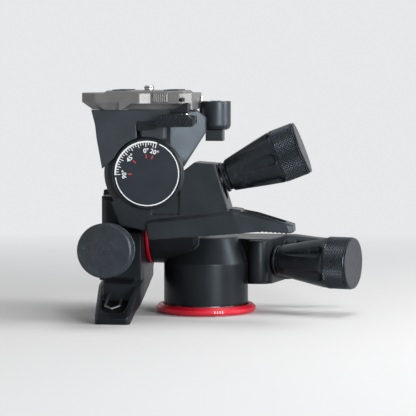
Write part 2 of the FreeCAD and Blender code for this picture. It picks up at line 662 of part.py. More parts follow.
def tilt_bush():
    start = TILT_UNIT_X + WHEEL_ROOM_HALF
    length = STUB_LEFT - TILT_RING_THICK - GAP - start
    return tube(AXLE_R + BUSH_WALL, AXLE_R + RUN, start, length, X_AXIS, (0, TILT_Z))


def tilt_cover():
    cover = turned([(0, 0), (COVER_R - 0.3, 0), (COVER_R, 0.3), (COVER_R, COVER_THICK), (0, COVER_THICK)],
                   X_AXIS,
                   Vec(HOUSING_LEFT, 0, TILT_Z))
    for y, z in screw_places(COVER_SCREW_PCD / 2, 4, 45):
        cover = cover.cut(rod(COVER_SCREW_R, HOUSING_LEFT - 1, COVER_THICK + 2, X_AXIS, (y, z + TILT_Z)))
    return cover


def tilt_cover_screws():
    screws = []
    for y, z in screw_places(COVER_SCREW_PCD / 2, 4, 45):
        shank = rod(COVER_SCREW_R, HOUSING_LEFT, COVER_SCREW_LENGTH, X_AXIS, (y, z + TILT_Z))
        head = rod(COVER_SCREW_HEAD_R, HOUSING_LEFT - COVER_SCREW_HEAD, COVER_SCREW_HEAD, X_AXIS,
                   (y, z + TILT_Z))
        socket = rod(1.1, HOUSING_LEFT - COVER_SCREW_HEAD - 0.1, 0.9, X_AXIS, (y, z + TILT_Z))
        screws.append(shank.fuse(head).cut(socket))
    return Part.makeCompound(screws)


def wire_clip():
    """Bent wire that hangs in the trough of the tilt paddle, with a hook at its free end."""
    points = [Vec(42.5, -4.0, -45.0), Vec(45.0, -4.0, -45.0), Vec(58.0, -4.0, -51.0), Vec(60.5, 0.0, -52.2),
              Vec(58.0, 4.0, -51.0), Vec(49.0, 4.0, -47.2)]
    clip = None
    for a, b in zip(points, points[1:]):
        run = b.sub(a)
        piece = Part.makeCylinder(CLIP_WIRE / 2, run.Length, a, run)
        piece = piece.fuse(Part.makeSphere(CLIP_WIRE / 2, b))
        clip = piece if clip is None else clip.fuse(piece)
    return clip


def side_form(frame):
    """Outside of the side housing, before it is hollowed."""
    x, z = SIDE_X, SIDE_Z
    drum = turned([(0, SIDE_BACK), (SIDE_DRUM_R, SIDE_BACK), (SIDE_DRUM_R, SIDE_FRONT + 1),
                   (DIAL_BOSS_R, SIDE_FRONT), (DIAL_BOSS_R, DIAL_BOSS_FRONT + 0.8),
                   (DIAL_BOSS_R - 0.8, DIAL_BOSS_FRONT), (0, DIAL_BOSS_FRONT)], Y_AXIS, Vec(x, 0, z))
    corner = turned([(0, SIDE_BACK), (SIDE_BODY_R, SIDE_BACK), (SIDE_BODY_R, SIDE_FRONT + 2.5),
                     (SIDE_BODY_R - 2.5, SIDE_FRONT), (0, SIDE_FRONT)], Y_AXIS, Vec(x, 0, z))
    corner = corner.common(plate_xz([(x, z), (x - 2, z + 30), (x - 30, z + 30), (x - 30, z - 40), (x + 10, z - 40)],
                                    SIDE_FRONT - 1, SIDE_BACK + 1))
    front = placed(joined(worm_shell(UNIT_HALF_SLIM, UNIT_HALF_SLIM), paddle(UNIT_HALF, UNIT_HALF_SLIM)), frame)
    trim = block((-90, SIDE_BACK, 0), (120, 20, 140))
    relief = plate_xz([(x, z), (x - 0.5, z - 50), (x - 60, z - 50), (x - 60, z)], DIAL_BOSS_FRONT - 1, FRONT_RELIEF)
    relief = relief.cut(rod(DIAL_BOSS_R, DIAL_BOSS_FRONT - 2, 10, Y_AXIS, (x, z)))
    pocket = plate_xz([(x + 2, z - POCKET_LOW), (x + POCKET_RIGHT, z - POCKET_LOW), (x + POCKET_RIGHT, z - 8),
                       (x + 8, z - 8)], DIAL_BOSS_FRONT - 1, POCKET_FLOOR)
    pocket = pocket.cut(rod(DIAL_BOSS_R, DIAL_BOSS_FRONT - 2, 10, Y_AXIS, (x, z)))
    return joined(drum, corner, front).cut(trim).cut(relief).cut(pocket)


def side_housing(frame, form):
    body = form.cut(placed(unit_room(), frame))
    centre = (SIDE_X, SIDE_Z)
    body = body.cut(rod(AXLE_R + BUSH_WALL, SIDE_UNIT_Y, 40, Y_AXIS, centre))
    body = body.cut(rod(AXLE_R + RUN, DIAL_BOSS_FRONT + 4, 40, Y_AXIS, centre))
    body = body.cut(rod(DIAL_R + 0.3, DIAL_BOSS_FRONT - 1, 1 + DIAL_THICK - DIAL_PROUD, Y_AXIS, centre))
    return body


def side_bush():
    start = SIDE_UNIT_Y + WHEEL_ROOM_HALF
    return tube(AXLE_R + BUSH_WALL, AXLE_R + RUN, start, SIDE_BACK - start, Y_AXIS, (SIDE_X, SIDE_Z))


def side_dial():
    return rod(DIAL_R, DIAL_BOSS_FRONT - DIAL_PROUD, DIAL_THICK, Y_AXIS, (SIDE_X, SIDE_Z))


# ================================================================ platform body
def side_axle():
    start = DIAL_BOSS_FRONT + 4.5
    return rod(AXLE_R, start, NECK_REAR_BACK - 1.5 - start, Y_AXIS, (SIDE_X, SIDE_Z))


def platform_neck():
    """Casting that carries the plate seat: a front skirt, a roof and a rear wall with the hub."""
    x, z = SIDE_X, SIDE_Z
    top = SEAT_Z
    rear = plate_xz([(x + NECK_LEFT_REAR, z - 1), (x + 8, z - 6), (x + 17.4, z + 3), (x + 31.4, z + 25),
                     (x + 31.4, top - 6), (x + 24, top), (x + NECK_LEFT_REAR, top)], NECK_REAR_FRONT, NECK_REAR_BACK)
    slant = plate_xy([(x + 10, NECK_REAR_FRONT), (x + 40, NECK_REAR_FRONT), (x + 40, NECK_REAR_BACK + 2),
                      (x + 31.4, NECK_REAR_BACK - 0.8)], z - 20, top - 1)
    rear = rear.cut(slant)
    hub = rod(NECK_HUB_R, NECK_REAR_FRONT, NECK_REAR_BACK - NECK_REAR_FRONT, Y_AXIS, (x, z))
    roof = block((x + NECK_LEFT_REAR, SKIRT_FRONT, z + ROOF_LOW),
                 (LEVER_PIVOT_X - LEVER_EYE_R - 0.6, NECK_REAR_BACK, top))
    skirt = plate_xz([(x - 26.2, z + 2.8), (x - 29.3, z + 20), (x - 30.2, z + 28), (x - 32.4, top), (x - 6, top),
                      (x - 6, z + 18), (x - 18, z + 10), (x - 21.5, z + 7)], SKIRT_FRONT, SKIRT_BACK)
    column = rod(8.0, z + 20, top - z - 20, Z_AXIS, (x + 3.4, SKIRT_BACK + 1.9))
    column = column.common(block((x - 10, SKIRT_FRONT, z), (x + 20, SKIRT_BACK + 0.6, top)))
    ring_room = rod(SKIRT_CLEAR_R, SKIRT_FRONT - 3, SKIRT_BACK - SKIRT_FRONT + 5, Y_AXIS, (x, z))
    body = joined(rear, hub, roof, skirt, column)
    body = body.cut(ring_room.common(block((-90, -70, 0), (40, SKIRT_BACK + 1, 140))))
    body = body.cut(rod(SIDE_BODY_R + CAST_GAP, SKIRT_BACK, NECK_REAR_FRONT - SKIRT_BACK, Y_AXIS, (x, z)))
    body = body.cut(rod(AXLE_R, NECK_REAR_FRONT - 1, NECK_REAR_BACK - NECK_REAR_FRONT - 0.5, Y_AXIS, (x, z)))
    body = body.cut(rod(CUP_R + GAP, CUP_LOW - 7, 30, Z_AXIS, (CUP_X, CUP_Y)))
    return body


def plate_seat():
    """Silver clamp body under the camera plate."""
    outline = [(SEAT_LEFT, -34), (SEAT_LEFT, -22), (SEAT_LEFT + 8, -6), (SEAT_LEFT + 20, SEAT_REAR),
               (SEAT_RIGHT - 8, SEAT_REAR), (SEAT_RIGHT, -8), (SEAT_RIGHT, -50), (SEAT_RIGHT - 6, -57),
               (SEAT_LEFT + 44, -57), (SEAT_LEFT + 38, SEAT_FRONT), (SEAT_LEFT + 12, SEAT_FRONT),
               (SEAT_LEFT + 3, -50)]
    seat = plate_xy(outline, SEAT_Z, SEAT_TOP)
    seat = rounded(seat, 3.0, upright)
    sloped = []
    for z in (SEAT_Z, SEAT_TOP + 1):
        lean = (z - SEAT_Z) / SEAT_SLANT_UP - 1
        ring = [Vec(SEAT_RIGHT + (x - SEAT_RIGHT) * (1 + SEAT_SLANT_LEFT * lean),
                    SEAT_REAR + (y - SEAT_REAR) * (1 + SEAT_SLANT_FRONT * lean), z) for x, y in outline]
        sloped.append(Part.makePolygon(ring + ring[:1]))
    underside = block((SEAT_LEFT - 5, -80, SEAT_Z), (SEAT_LEFT + 26, 20, SEAT_Z + SEAT_SLANT_UP))
    seat = seat.cut(underside.cut(Part.makeLoft(sloped, True, True)))
    right_low = plate_xz([(SEAT_LEFT + 26, SEAT_Z - 1), (SEAT_LEFT + 33, SEAT_Z + 3.6), (SEAT_RIGHT + 5, SEAT_Z + 3.6),
                          (SEAT_RIGHT + 5, SEAT_Z - 1)], -70, -51)
    seat = seat.cut(right_low)
    x0, x1 = PLATE_X - PLATE_SIZE_X / 2 - GAP, PLATE_X + PLATE_SIZE_X / 2 + GAP
    y0, y1 = PLATE_Y - PLATE_SIZE_Y / 2 - GAP, PLATE_Y + PLATE_SIZE_Y / 2 + GAP
    seat = seat.cut(block((x0, y0, SEAT_TOP - PLATE_SUNK), (x1, y1, SEAT_TOP + 5)))
    x = CATCH_X + 1.5
    seat = seat.cut(block((x - GAP, -58, SEAT_Z + CATCH_SLOT_UP - GAP),
                          (x + CATCH_STEM + CATCH_TRAVEL + GAP, -54.5, SEAT_Z + CATCH_SLOT_UP + 1.6 + GAP)))
    return seat.cut(rod(LEVER_PIN_R, SEAT_Z - 1, LEVER_PIN_DEPTH + 1, Z_AXIS, (LEVER_PIVOT_X, LEVER_PIVOT_Y)))


def quick_plate():
    """Camera plate; its screw stands in a counterbore that is open below."""
    x0, x1 = PLATE_X - PLATE_SIZE_X / 2, PLATE_X + PLATE_SIZE_X / 2
    y0, y1 = PLATE_Y - PLATE_SIZE_Y / 2, PLATE_Y + PLATE_SIZE_Y / 2
    floor = SEAT_TOP - PLATE_SUNK
    centre = (PLATE_X, PLATE_Y)
    plate = block((x0, y0, floor), (x1, y1, PLATE_TOP))
    plate = plate.makeChamfer(1.2, [e for e in plate.Edges if e.CenterOfMass.z > PLATE_TOP - 0.01])
    plate = plate.cut(rod(CAMERA_SCREW_R + 0.15, floor - 1, PLATE_TOP - floor + 2, Z_AXIS, centre))
    plate = plate.cut(rod(CAMERA_HEAD_R + GAP, floor - 1, 1 + CAMERA_HEAD_UP + CAMERA_HEAD + GAP, Z_AXIS, centre))
    for x in (PLATE_X - PAD_PLACE, PLATE_X + PAD_PLACE):
        plate = plate.cut(block((x - PAD_WIDTH / 2, y0 + PAD_END, PLATE_TOP - PAD_SUNK),
                                (x + PAD_WIDTH / 2, y1 - PAD_END, PLATE_TOP + 1)))
    return plate


def plate_pads():
    y0, y1 = PLATE_Y - PLATE_SIZE_Y / 2 + PAD_END, PLATE_Y + PLATE_SIZE_Y / 2 - PAD_END
    pads = [block((x - PAD_WIDTH / 2, y0, PLATE_TOP - PAD_SUNK), (x + PAD_WIDTH / 2, y1, PLATE_TOP + PAD_PROUD))
            for x in (PLATE_X - PAD_PLACE, PLATE_X + PAD_PLACE)]
    return Part.makeCompound(pads)


def camera_screw():
    """Slotted screw whose neck passes the plate; the thread starts just above it."""
    centre = (PLATE_X, PLATE_Y)
    head_low = SEAT_TOP - PLATE_SUNK + CAMERA_HEAD_UP
    thread_low = PLATE_TOP + CAMERA_RELIEF
    thread = rod(CAMERA_SCREW_R, thread_low, PLATE_TOP + CAMERA_SCREW_OUT - thread_low, Z_AXIS, centre)
    thread = thread.makeChamfer(0.4, [e for e in thread.Edges if e.CenterOfMass.z > thread_low + 0.1
                                      and len(e.Vertexes) == 1])
    neck = rod(CAMERA_SHANK_R, head_low, thread_low - head_low, Z_AXIS, centre)
    head = rod(CAMERA_HEAD_R, head_low, CAMERA_HEAD, Z_AXIS, centre)
    slot_long, slot_half = 6.5, 0.8
    head = head.cut(block((PLATE_X - slot_long, PLATE_Y - slot_half, head_low - 1),
                          (PLATE_X + slot_long, PLATE_Y + slot_half, head_low + 1)))
    return joined(thread, neck, head)


def level_cup():
    """Round cup at the right end of the seat, on a short bracket, with a square foot below."""
    inner = CUP_R - CUP_WALL
    profile = [(0, 0), (CUP_R - 2.6, 0), (CUP_R - 0.8, 0.8), (CUP_R, 2.6), (CUP_R, CUP_HEIGHT),
               (inner, CUP_HEIGHT), (inner, CUP_HEIGHT - CUP_DEPTH), (0, CUP_HEIGHT - CUP_DEPTH)]
    cup = turned(profile, Z_AXIS, Vec(CUP_X, CUP_Y, CUP_LOW))
    bracket = block((SEAT_RIGHT, CUP_Y - 3, CUP_TOP - 9), (CUP_X - CUP_R + 1.0, CUP_Y + 3, CUP_TOP - 1))
    foot = block((CUP_X - 5.6, CUP_Y - 5, CUP_LOW - 6.5), (CUP_X + 4.6, CUP_Y + 5, CUP_LOW + 0.5))
    return joined(cup, bracket, foot)


def level_vial():
    radius = CUP_R - CUP_WALL
    return turned([(0, CUP_TOP - CUP_DEPTH), (radius, CUP_TOP - CUP_DEPTH), (radius, CUP_TOP - 0.6),
                   (radius - 1.5, CUP_TOP), (0, CUP_TOP + 0.3)], Z_AXIS, Vec(CUP_X, CUP_Y, 0))


def clamp_lever():
    """Ribbed locking lever under the front edge of the seat."""
    z = LEVER_Z
    x0 = SIDE_X + 5.4
    outline = [(x0, z - 3.4), (x0 + 2.5, z - 5.6), (x0 + 21.5, z - 5.2), (x0 + 23, z - 3.6), (x0 + 23, z - 1.4),
               (x0 + 19, z + 1.6), (x0 + 6, z + 1.8)]
    blade = plate_xz(outline, -67.0, -59.0)
    arm = block((x0 + 16, -59.5, z - 3.5), (x0 + 23, -52.0, z + 1.0))
    eye = rod(LEVER_EYE_R, z - 3.5, 4.5, Z_AXIS, (LEVER_PIVOT_X, LEVER_PIVOT_Y))
    lever = joined(blade, arm, eye)
    return lever.cut(rod(LEVER_PIN_R + RUN, z - 6, 12, Z_AXIS, (LEVER_PIVOT_X, LEVER_PIVOT_Y)))


def lever_pin():
    centre = (LEVER_PIVOT_X, LEVER_PIVOT_Y)
    low = LEVER_Z - 3.5 - GAP
    pin = rod(LEVER_PIN_R, low, SEAT_Z + LEVER_PIN_DEPTH - low, Z_AXIS, centre)
    return pin.fuse(rod(2 * LEVER_PIN_R, low - 1.6, 1.6, Z_AXIS, centre))


def safety_catch():
    """Small sliding catch in front of the seat, held by a stem in the seat's slot."""
    x, back = CATCH_X, SKIRT_FRONT - GAP
    low = SEAT_Z - 2.0
    catch = plate_xz([(x - 2.1, low), (x + 7.1, low), (x + 7.1, low + 6.2), (x + 5.0, low + 6.2), (x - 2.1, low + 1.6)],
                     back - CATCH_THICK, back)
    stem = block((x + 1.5, back - 0.1, SEAT_Z + CATCH_SLOT_UP),
                 (x + 1.5 + CATCH_STEM, -55.0, SEAT_Z + CATCH_SLOT_UP + 1.6))
    return catch.fuse(stem)


def index_pointer():
    """Small window with a pointer edge, above the dial."""
    outline = [(-5.4, 24.6), (5.4, 25.6), (5.4, 30.0), (-5.4, 30.0)]
    return plate_xz([(SIDE_X + x, SIDE_Z + z) for x, z in outline], SKIRT_FRONT - 1.0, SKIRT_FRONT)


def seat_grip():
    """Serrated thumb pad on the seat's front edge."""
    x0, x1 = SIDE_X + 3.2, SIDE_X + 12.2
    y = -57.0
    pad = block((x0, y - 0.8, SEAT_Z + 4.4), (x1, y, SEAT_Z + 9.6))
    for k in range(7):
        pad = pad.fuse(rod(0.45, SEAT_Z + 4.6, 4.8, Z_AXIS, (x0 + 0.9 + k * 1.2, y - 0.8)))
    return pad


# ================================================================ the whole head
def build():
    frames = unit_frames()
    parts = {
        "base_plate": base_plate(),
        "tripod_socket_bush": socket_bush(),
        "pan_scale_ring": pan_scale_ring(),
        "pan_spindle": pan_spindle(),
        "base_screws": base_screws(),
        "pan_bush": pan_bush(),
        "tilt_red_ring": tilt_red_ring(),
        "tilt_axle": tilt_axle(),
        "tilt_bush": tilt_bush(),
        "tilt_cover": tilt_cover(),
        "tilt_cover_screws": tilt_cover_screws(),
        "tilt_wire_clip": placed(wire_clip(), frames["tilt"]),
        "side_bush": side_bush(),
        "side_dial": side_dial(),
        "side_axle": side_axle(),
        "platform_neck": platform_neck(),
        "plate_seat": plate_seat(),
        "quick_plate": quick_plate(),
        "plate_pads": plate_pads(),
        "camera_screw": camera_screw(),
        "level_cup": level_cup(),
        "level_vial": level_vial(),
        "clamp_lever": clamp_lever(),
        "lever_pin": lever_pin(),
        "safety_catch": safety_catch(),
        "index_pointer": index_pointer(),
        "seat_grip": seat_grip(),
    }
    form = side_form(frames["side"])
    parts["pan_housing"] = pan_housing(frames["pan"])
    parts["tilt_housing"] = tilt_housing(frames["tilt"], form)
    parts["side_housing"] = side_housing(frames["side"], form)
    shared = {
        "worm_wheel": worm_wheel(),
        "worm_shaft": worm_shaft(),
        "worm_bushes": worm_bushes(),
        "worm_carrier": worm_carrier(),
        "pivot_pin": pivot_pin(),
        "release_spring": release_spring(),
        "knob_collars": knob_collars(),
        "knob_grip": knob_grip(),
        "knob_ring": knob_ring(),
        "knob_cap": knob_cap(),
    }
    for unit, frame in frames.items():
        for name, shape in shared.items():
            parts[unit + "_" + name] = placed(shape, frame)
    return parts


def save(parts):
    os.makedirs("parts", exist_ok=True)
    for name, shape in sorted(parts.items()):
        shape.exportStep("parts/" + name + ".step")
        print(name, "solids", len(shape.Solids), "valid", shape.isValid(), "volume", round(shape.Volume, 1))


save(build())
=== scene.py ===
import bpy
import json
import math
from mathutils import Matrix, Vector


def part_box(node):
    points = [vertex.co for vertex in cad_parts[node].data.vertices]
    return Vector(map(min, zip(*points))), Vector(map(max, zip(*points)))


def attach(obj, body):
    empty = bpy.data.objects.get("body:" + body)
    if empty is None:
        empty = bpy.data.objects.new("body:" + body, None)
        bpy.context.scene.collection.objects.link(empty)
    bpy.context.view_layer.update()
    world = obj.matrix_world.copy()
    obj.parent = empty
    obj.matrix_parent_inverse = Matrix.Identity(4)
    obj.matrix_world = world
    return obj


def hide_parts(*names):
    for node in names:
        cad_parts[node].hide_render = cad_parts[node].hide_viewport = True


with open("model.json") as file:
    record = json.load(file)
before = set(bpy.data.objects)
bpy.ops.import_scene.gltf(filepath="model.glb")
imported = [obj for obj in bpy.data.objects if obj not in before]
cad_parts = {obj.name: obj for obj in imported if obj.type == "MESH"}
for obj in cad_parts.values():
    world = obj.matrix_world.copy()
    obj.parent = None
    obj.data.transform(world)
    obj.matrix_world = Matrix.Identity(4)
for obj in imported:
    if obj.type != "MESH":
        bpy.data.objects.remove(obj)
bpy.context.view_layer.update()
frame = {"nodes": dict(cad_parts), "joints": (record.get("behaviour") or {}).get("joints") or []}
nodes = frame["nodes"]
joints = {joint["name"]: joint for joint in frame["joints"]}
mm = 0.001
units = ("pan", "tilt", "side")
near = {"same": 0.001 * mm, "merge": 0.002 * mm, "loop": 0.004 * mm, "edge": 0.01 * mm}
print("frame loaded:", len(nodes), "nodes")


# small helpers for operators
def deselectAll():
    if bpy.context.object and bpy.context.object.mode != "OBJECT":
        bpy.ops.object.mode_set(mode="OBJECT")
    bpy.ops.object.select_all(action="DESELECT")


def pick(piece):
    deselectAll()
    piece.select_set(True)
    bpy.context.view_layer.objects.active = piece


def named(piece, name):
    piece.name = name
    piece.data.name = name
    return piece


def applyAll(piece):
    pick(piece)
    bpy.ops.object.transform_apply(location=True, rotation=True, scale=True)


def applyModifiers(piece):
    pick(piece)
    for modifier in list(piece.modifiers):
        bpy.ops.object.modifier_apply(modifier=modifier.name)


def roundEdges(piece, width, segments, angle=None):
    # with an angle, only edges sharper than that many degrees
    soft = piece.modifiers.new("round", "BEVEL")
    soft.width = width
    soft.segments = segments
    if angle:
        soft.limit_method = "ANGLE"
        soft.angle_limit = math.radians(angle)
    applyModifiers(piece)


def smooth(piece, degrees=35):
    pick(piece)
    bpy.ops.object.shade_smooth_by_angle(angle=math.radians(degrees))


def copyOf(piece):
    pick(piece)
    bpy.ops.object.duplicate()
    return bpy.context.object


def joinPieces(pieces, name):
    deselectAll()
    for piece in pieces:
        piece.select_set(True)
    bpy.context.view_layer.objects.active = pieces[0]
    bpy.ops.object.join()
    return named(bpy.context.object, name)


def standOnKnob(piece, unit):
    # a piece made along +Z goes onto the knob's axis, with +X from the worm towards the wheel
    spin = joints[unit + "_knob_spin"]
    along = Vector(spin["axis"]).normalized()
    hinge = Vector(joints[unit + "_release"]["axis"]).normalized()
    up = hinge.cross(along) * -1
    turn = Matrix((up, along.cross(up), along)).transposed().to_4x4()
    piece.matrix_world = Matrix.Translation(Vector(spin["pos_m"])) @ turn @ piece.matrix_world
    applyAll(piece)


# selecting by place
def clearSelection(piece):
    pick(piece)
    for group in (piece.data.polygons, piece.data.edges, piece.data.vertices):
        for element in group:
            element.select = False


def selectPoints(piece, wanted):
    # edit mode is entered with only the points for which wanted(vertex) is true
    clearSelection(piece)
    for vertex in piece.data.vertices:
        vertex.select = bool(wanted(vertex))
    bpy.ops.object.mode_set(mode="EDIT")
    bpy.ops.mesh.select_mode(type="VERT")


def selectEdges(piece, wanted):
    clearSelection(piece)
    for edge in piece.data.edges:
        edge.select = bool(wanted(edge))
    bpy.ops.object.mode_set(mode="EDIT")
    bpy.ops.mesh.select_mode(type="EDGE")


def selectWhole(piece):
    selectPoints(piece, lambda vertex: True)


def leaveEdit():
    bpy.ops.object.mode_set(mode="OBJECT")


def faceOutward():
    bpy.ops.mesh.select_all(action="SELECT")
    bpy.ops.mesh.normals_make_consistent(inside=False)
    leaveEdit()


def onRing(point, height, radius, slack):
    # True where the point lies at that height and that far from the Z axis
    return abs(point.z - height) < near["same"] and abs(point.xy.length - radius) < slack


def edgeEnds(piece, edge):
    return [piece.data.vertices[index].co for index in edge.vertices]


def drawUp(piece, height, radius, steps):
    # the end face at that height and radius is drawn on through further heights and radii
    for nextHeight, nextRadius in steps:
        selectPoints(piece, lambda vertex: onRing(vertex.co, height, radius, near["same"]))
        bpy.ops.mesh.select_mode(type="FACE")
        bpy.ops.mesh.extrude_region_move(TRANSFORM_OT_translate={"value": (0, 0, nextHeight - height)})
        factor = nextRadius / radius
        bpy.ops.transform.resize(value=(factor, factor, 1), center_override=(0, 0, nextHeight))
        leaveEdit()
        height, radius = nextHeight, nextRadius


def drawRim(height, nextHeight, factor):
    # the selected open loop is drawn on to the next height and radius
    bpy.ops.mesh.extrude_edges_move(TRANSFORM_OT_translate={"value": (0, 0, nextHeight - height)})
    bpy.ops.transform.resize(value=(factor, factor, 1), center_override=(0, 0, nextHeight))
    leaveEdit()


def helixRidge(name, crest, root, pitch, low, turns):
    # a thread's ridge about Z: a triangle carried up a helix
    ridge = {"half": 0.42, "stepsInTurn": 40}
    deselectAll()
    bpy.ops.mesh.primitive_circle_add(vertices=3, radius=1, fill_type="NOTHING", rotation=(math.pi / 2, 0, 0))
    thread = named(bpy.context.object, name)
    applyAll(thread)
    corners = [(root, -pitch * ridge["half"]), (root, pitch * ridge["half"]), (crest, 0)]
    for vertex, (radius, height) in zip(thread.data.vertices, corners):
        vertex.co = (radius, 0, low + height)
    screw = thread.modifiers.new("turns", "SCREW")
    screw.angle = math.tau * turns
    screw.screw_offset = pitch * turns
    screw.steps = screw.render_steps = int(ridge["stepsInTurn"] * turns)
    screw.use_merge_vertices = False
    applyModifiers(thread)
    selectWhole(thread)
    bpy.ops.mesh.remove_doubles(threshold=near["merge"])
    bpy.ops.mesh.fill_holes(sides=0)
    bpy.ops.mesh.normals_make_consistent(inside=False)
    leaveEdit()
    return thread


# material helpers
def addNode(tree, kind, **values):
    node = tree.nodes.new(kind)
    for key, value in values.items():
        if key in node.inputs:
            node.inputs[key].default_value = value
        else:
            setattr(node, key, value)
    return node


def startMaterial(name):
    material = bpy.data.materials.new(name)
    material.use_nodes = True
    tree = material.node_tree
    shader = tree.nodes["Principled BSDF"]
    place = addNode(tree, "ShaderNodeTexCoord").outputs["Object"]
    return material, tree, shader, place


def noise(tree, place, size, detail=4.0, rough=0.55):
    # size is the grain's size in metres
    texture = addNode(tree, "ShaderNodeTexNoise", Scale=1.0 / size, Detail=detail, Roughness=rough)
    tree.links.new(place, texture.inputs["Vector"])
    return texture.outputs["Fac"]


def mapped(tree, place, **values):
    # the same place, moved or stretched
    mapping = addNode(tree, "ShaderNodeMapping", **values)
    tree.links.new(place, mapping.inputs["Vector"])
    return mapping.outputs["Vector"]


def mapRange(tree, source, fromRange, toRange=(0.0, 1.0)):
    node = addNode(tree, "ShaderNodeMapRange")
    limits = zip(("From Min", "From Max", "To Min", "To Max"), (*fromRange, *toRange))
    for key, value in limits:
        node.inputs[key].default_value = value
    tree.links.new(source, node.inputs["Value"])
    return node.outputs["Result"]


def maths(tree, kind, first, second):
    node = addNode(tree, "ShaderNodeMath", operation=kind)
    for slot, value in enumerate((first, second)):
        if isinstance(value, (int, float)):
            node.inputs[slot].default_value = value
        else:
            tree.links.new(value, node.inputs[slot])
    return node.outputs["Value"]


def mixColour(tree, factor, first, second):
    node = addNode(tree, "ShaderNodeMix", data_type="RGBA")
    tree.links.new(factor, node.inputs["Factor"])
    for socket, value in ((node.inputs[6], first), (node.inputs[7], second)):
        if isinstance(value, tuple):
            socket.default_value = (*value, 1.0)
        else:
            tree.links.new(value, socket)
    return node.outputs[2]


def shade(colour, factor):
    return tuple(min(1.0, channel * factor) for channel in colour)


def coolGloss(shader, level):
    # black paint and rubber reflect a little blue
    shader.inputs["Specular IOR Level"].default_value = level
    shader.inputs["Specular Tint"].default_value = (0.74, 0.88, 1.0, 1.0)


def softEdges(tree, radius):
    node = addNode(tree, "ShaderNodeBevel", samples=6, Radius=radius)
    return node.outputs["Normal"]


def edgeWear(tree, radius, place, grain):
    # 1 on outer edges that hands have rubbed, broken up by a grain
    wear = {"edge": (0.995, 0.85), "broken": (0.42, 0.62), "detail": 6}
    rounded = softEdges(tree, radius)
    geometry = addNode(tree, "ShaderNodeNewGeometry")
    dot = addNode(tree, "ShaderNodeVectorMath", operation="DOT_PRODUCT")
    tree.links.new(rounded, dot.inputs[0])
    tree.links.new(geometry.outputs["Normal"], dot.inputs[1])
    edge = mapRange(tree, dot.outputs["Value"], wear["edge"])
    broken = mapRange(tree, noise(tree, place, grain, wear["detail"]), wear["broken"])
    return maths(tree, "MULTIPLY", edge, broken)


def colourFrom(tree, shader, result):
    tree.links.new(result, shader.inputs["Base Color"])


def roughFrom(tree, shader, source, fromRange, toRange):
    tree.links.new(mapRange(tree, source, fromRange, toRange), shader.inputs["Roughness"])


def bump(tree, shader, height, strength, distance, base):
    node = addNode(tree, "ShaderNodeBump", Strength=strength, Distance=distance)
    tree.links.new(height, node.inputs["Height"])
    tree.links.new(base, node.inputs["Normal"])
    tree.links.new(node.outputs["Normal"], shader.inputs["Normal"])


# finishes
def castPaint(name, colour, worn, rough, wear=0.75, gloss=0.32):
    look = {"grain": 0.45 * mm, "cloud": 14 * mm, "speck": 0.9 * mm, "edge": 1.5 * mm, "rub": 0.55 * mm,
            "rubGrain": 3 * mm, "bump": 0.035 * mm, "strength": 0.35, "lighter": 1.35, "dusty": 3.2,
            "patches": (0.35, 0.7), "roughAt": (0.3, 0.7), "specksAt": (0.74, 0.78), "specks": (0.0, 0.35)}
    material, tree, shader, place = startMaterial(name)
    coolGloss(shader, gloss)
    fine = noise(tree, place, look["grain"], detail=3)
    cloud = noise(tree, place, look["cloud"], detail=4)
    rubbed = maths(tree, "MULTIPLY", edgeWear(tree, look["rub"], place, look["rubGrain"]), wear)
    lighter = shade(colour, look["lighter"])
    base = mixColour(tree, mapRange(tree, cloud, look["patches"]), colour, lighter)
    specks = mapRange(tree, noise(tree, place, look["speck"], detail=2), look["specksAt"], look["specks"])
    dusty = mixColour(tree, specks, base, shade(colour, look["dusty"]))
    colourFrom(tree, shader, mixColour(tree, rubbed, dusty, worn))
    roughFrom(tree, shader, cloud, look["roughAt"], rough)
    bump(tree, shader, fine, look["strength"], look["bump"], softEdges(tree, look["edge"]))
    return material


def gripRubber(name):
    look = {"colour": (0.0034, 0.0042, 0.0052), "scuffed": (0.04, 0.045, 0.051), "gloss": 0.34,
            "scuff": 2.4 * mm, "scuffDetail": 6, "scuffRough": 0.62, "stretch": (1.0, 1.0, 0.35),
            "patch": 11 * mm, "scuffsAt": (0.52, 0.72), "scuffs": (0.0, 0.9), "patchesAt": (0.45, 0.65),
            "patches": (0.15, 1.0), "rub": 0.8 * mm, "rubGrain": 2 * mm, "roughAt": (0.3, 0.7),
            "rough": (0.28, 0.5), "grain": 0.5 * mm, "strength": 0.3, "bump": 0.05 * mm, "edge": 0.7 * mm}
    material, tree, shader, place = startMaterial(name)
    coolGloss(shader, look["gloss"])
    stretched = mapped(tree, place, Scale=look["stretch"])
    scuffs = noise(tree, stretched, look["scuff"], look["scuffDetail"], look["scuffRough"])
    patches = noise(tree, place, look["patch"], detail=3)
    worn = maths(tree, "MULTIPLY", mapRange(tree, scuffs, look["scuffsAt"], look["scuffs"]),
                 mapRange(tree, patches, look["patchesAt"], look["patches"]))
    rubbed = maths(tree, "MAXIMUM", worn, edgeWear(tree, look["rub"], place, look["rubGrain"]))
    colourFrom(tree, shader, mixColour(tree, rubbed, look["colour"], look["scuffed"]))
    roughFrom(tree, shader, scuffs, look["roughAt"], look["rough"])
    grain = noise(tree, place, look["grain"], detail=4)
    bump(tree, shader, grain, look["strength"], look["bump"], softEdges(tree, look["edge"]))
    return material


def knurlMetal(name):
    look = {"colour": (0.017, 0.0205, 0.0245), "tips": (0.06, 0.068, 0.078), "metallic": 0.5, "gloss": 0.4,
            "rub": 0.25 * mm, "rubGrain": 1.5 * mm, "cloud": 3 * mm, "roughAt": (0.3, 0.7),
            "rough": (0.24, 0.38)}
    material, tree, shader, place = startMaterial(name)
    tips = edgeWear(tree, look["rub"], place, look["rubGrain"])
    colourFrom(tree, shader, mixColour(tree, tips, look["colour"], look["tips"]))
    shader.inputs["Metallic"].default_value = look["metallic"]
    coolGloss(shader, look["gloss"])
    roughFrom(tree, shader, noise(tree, place, look["cloud"]), look["roughAt"], look["rough"])
    return material


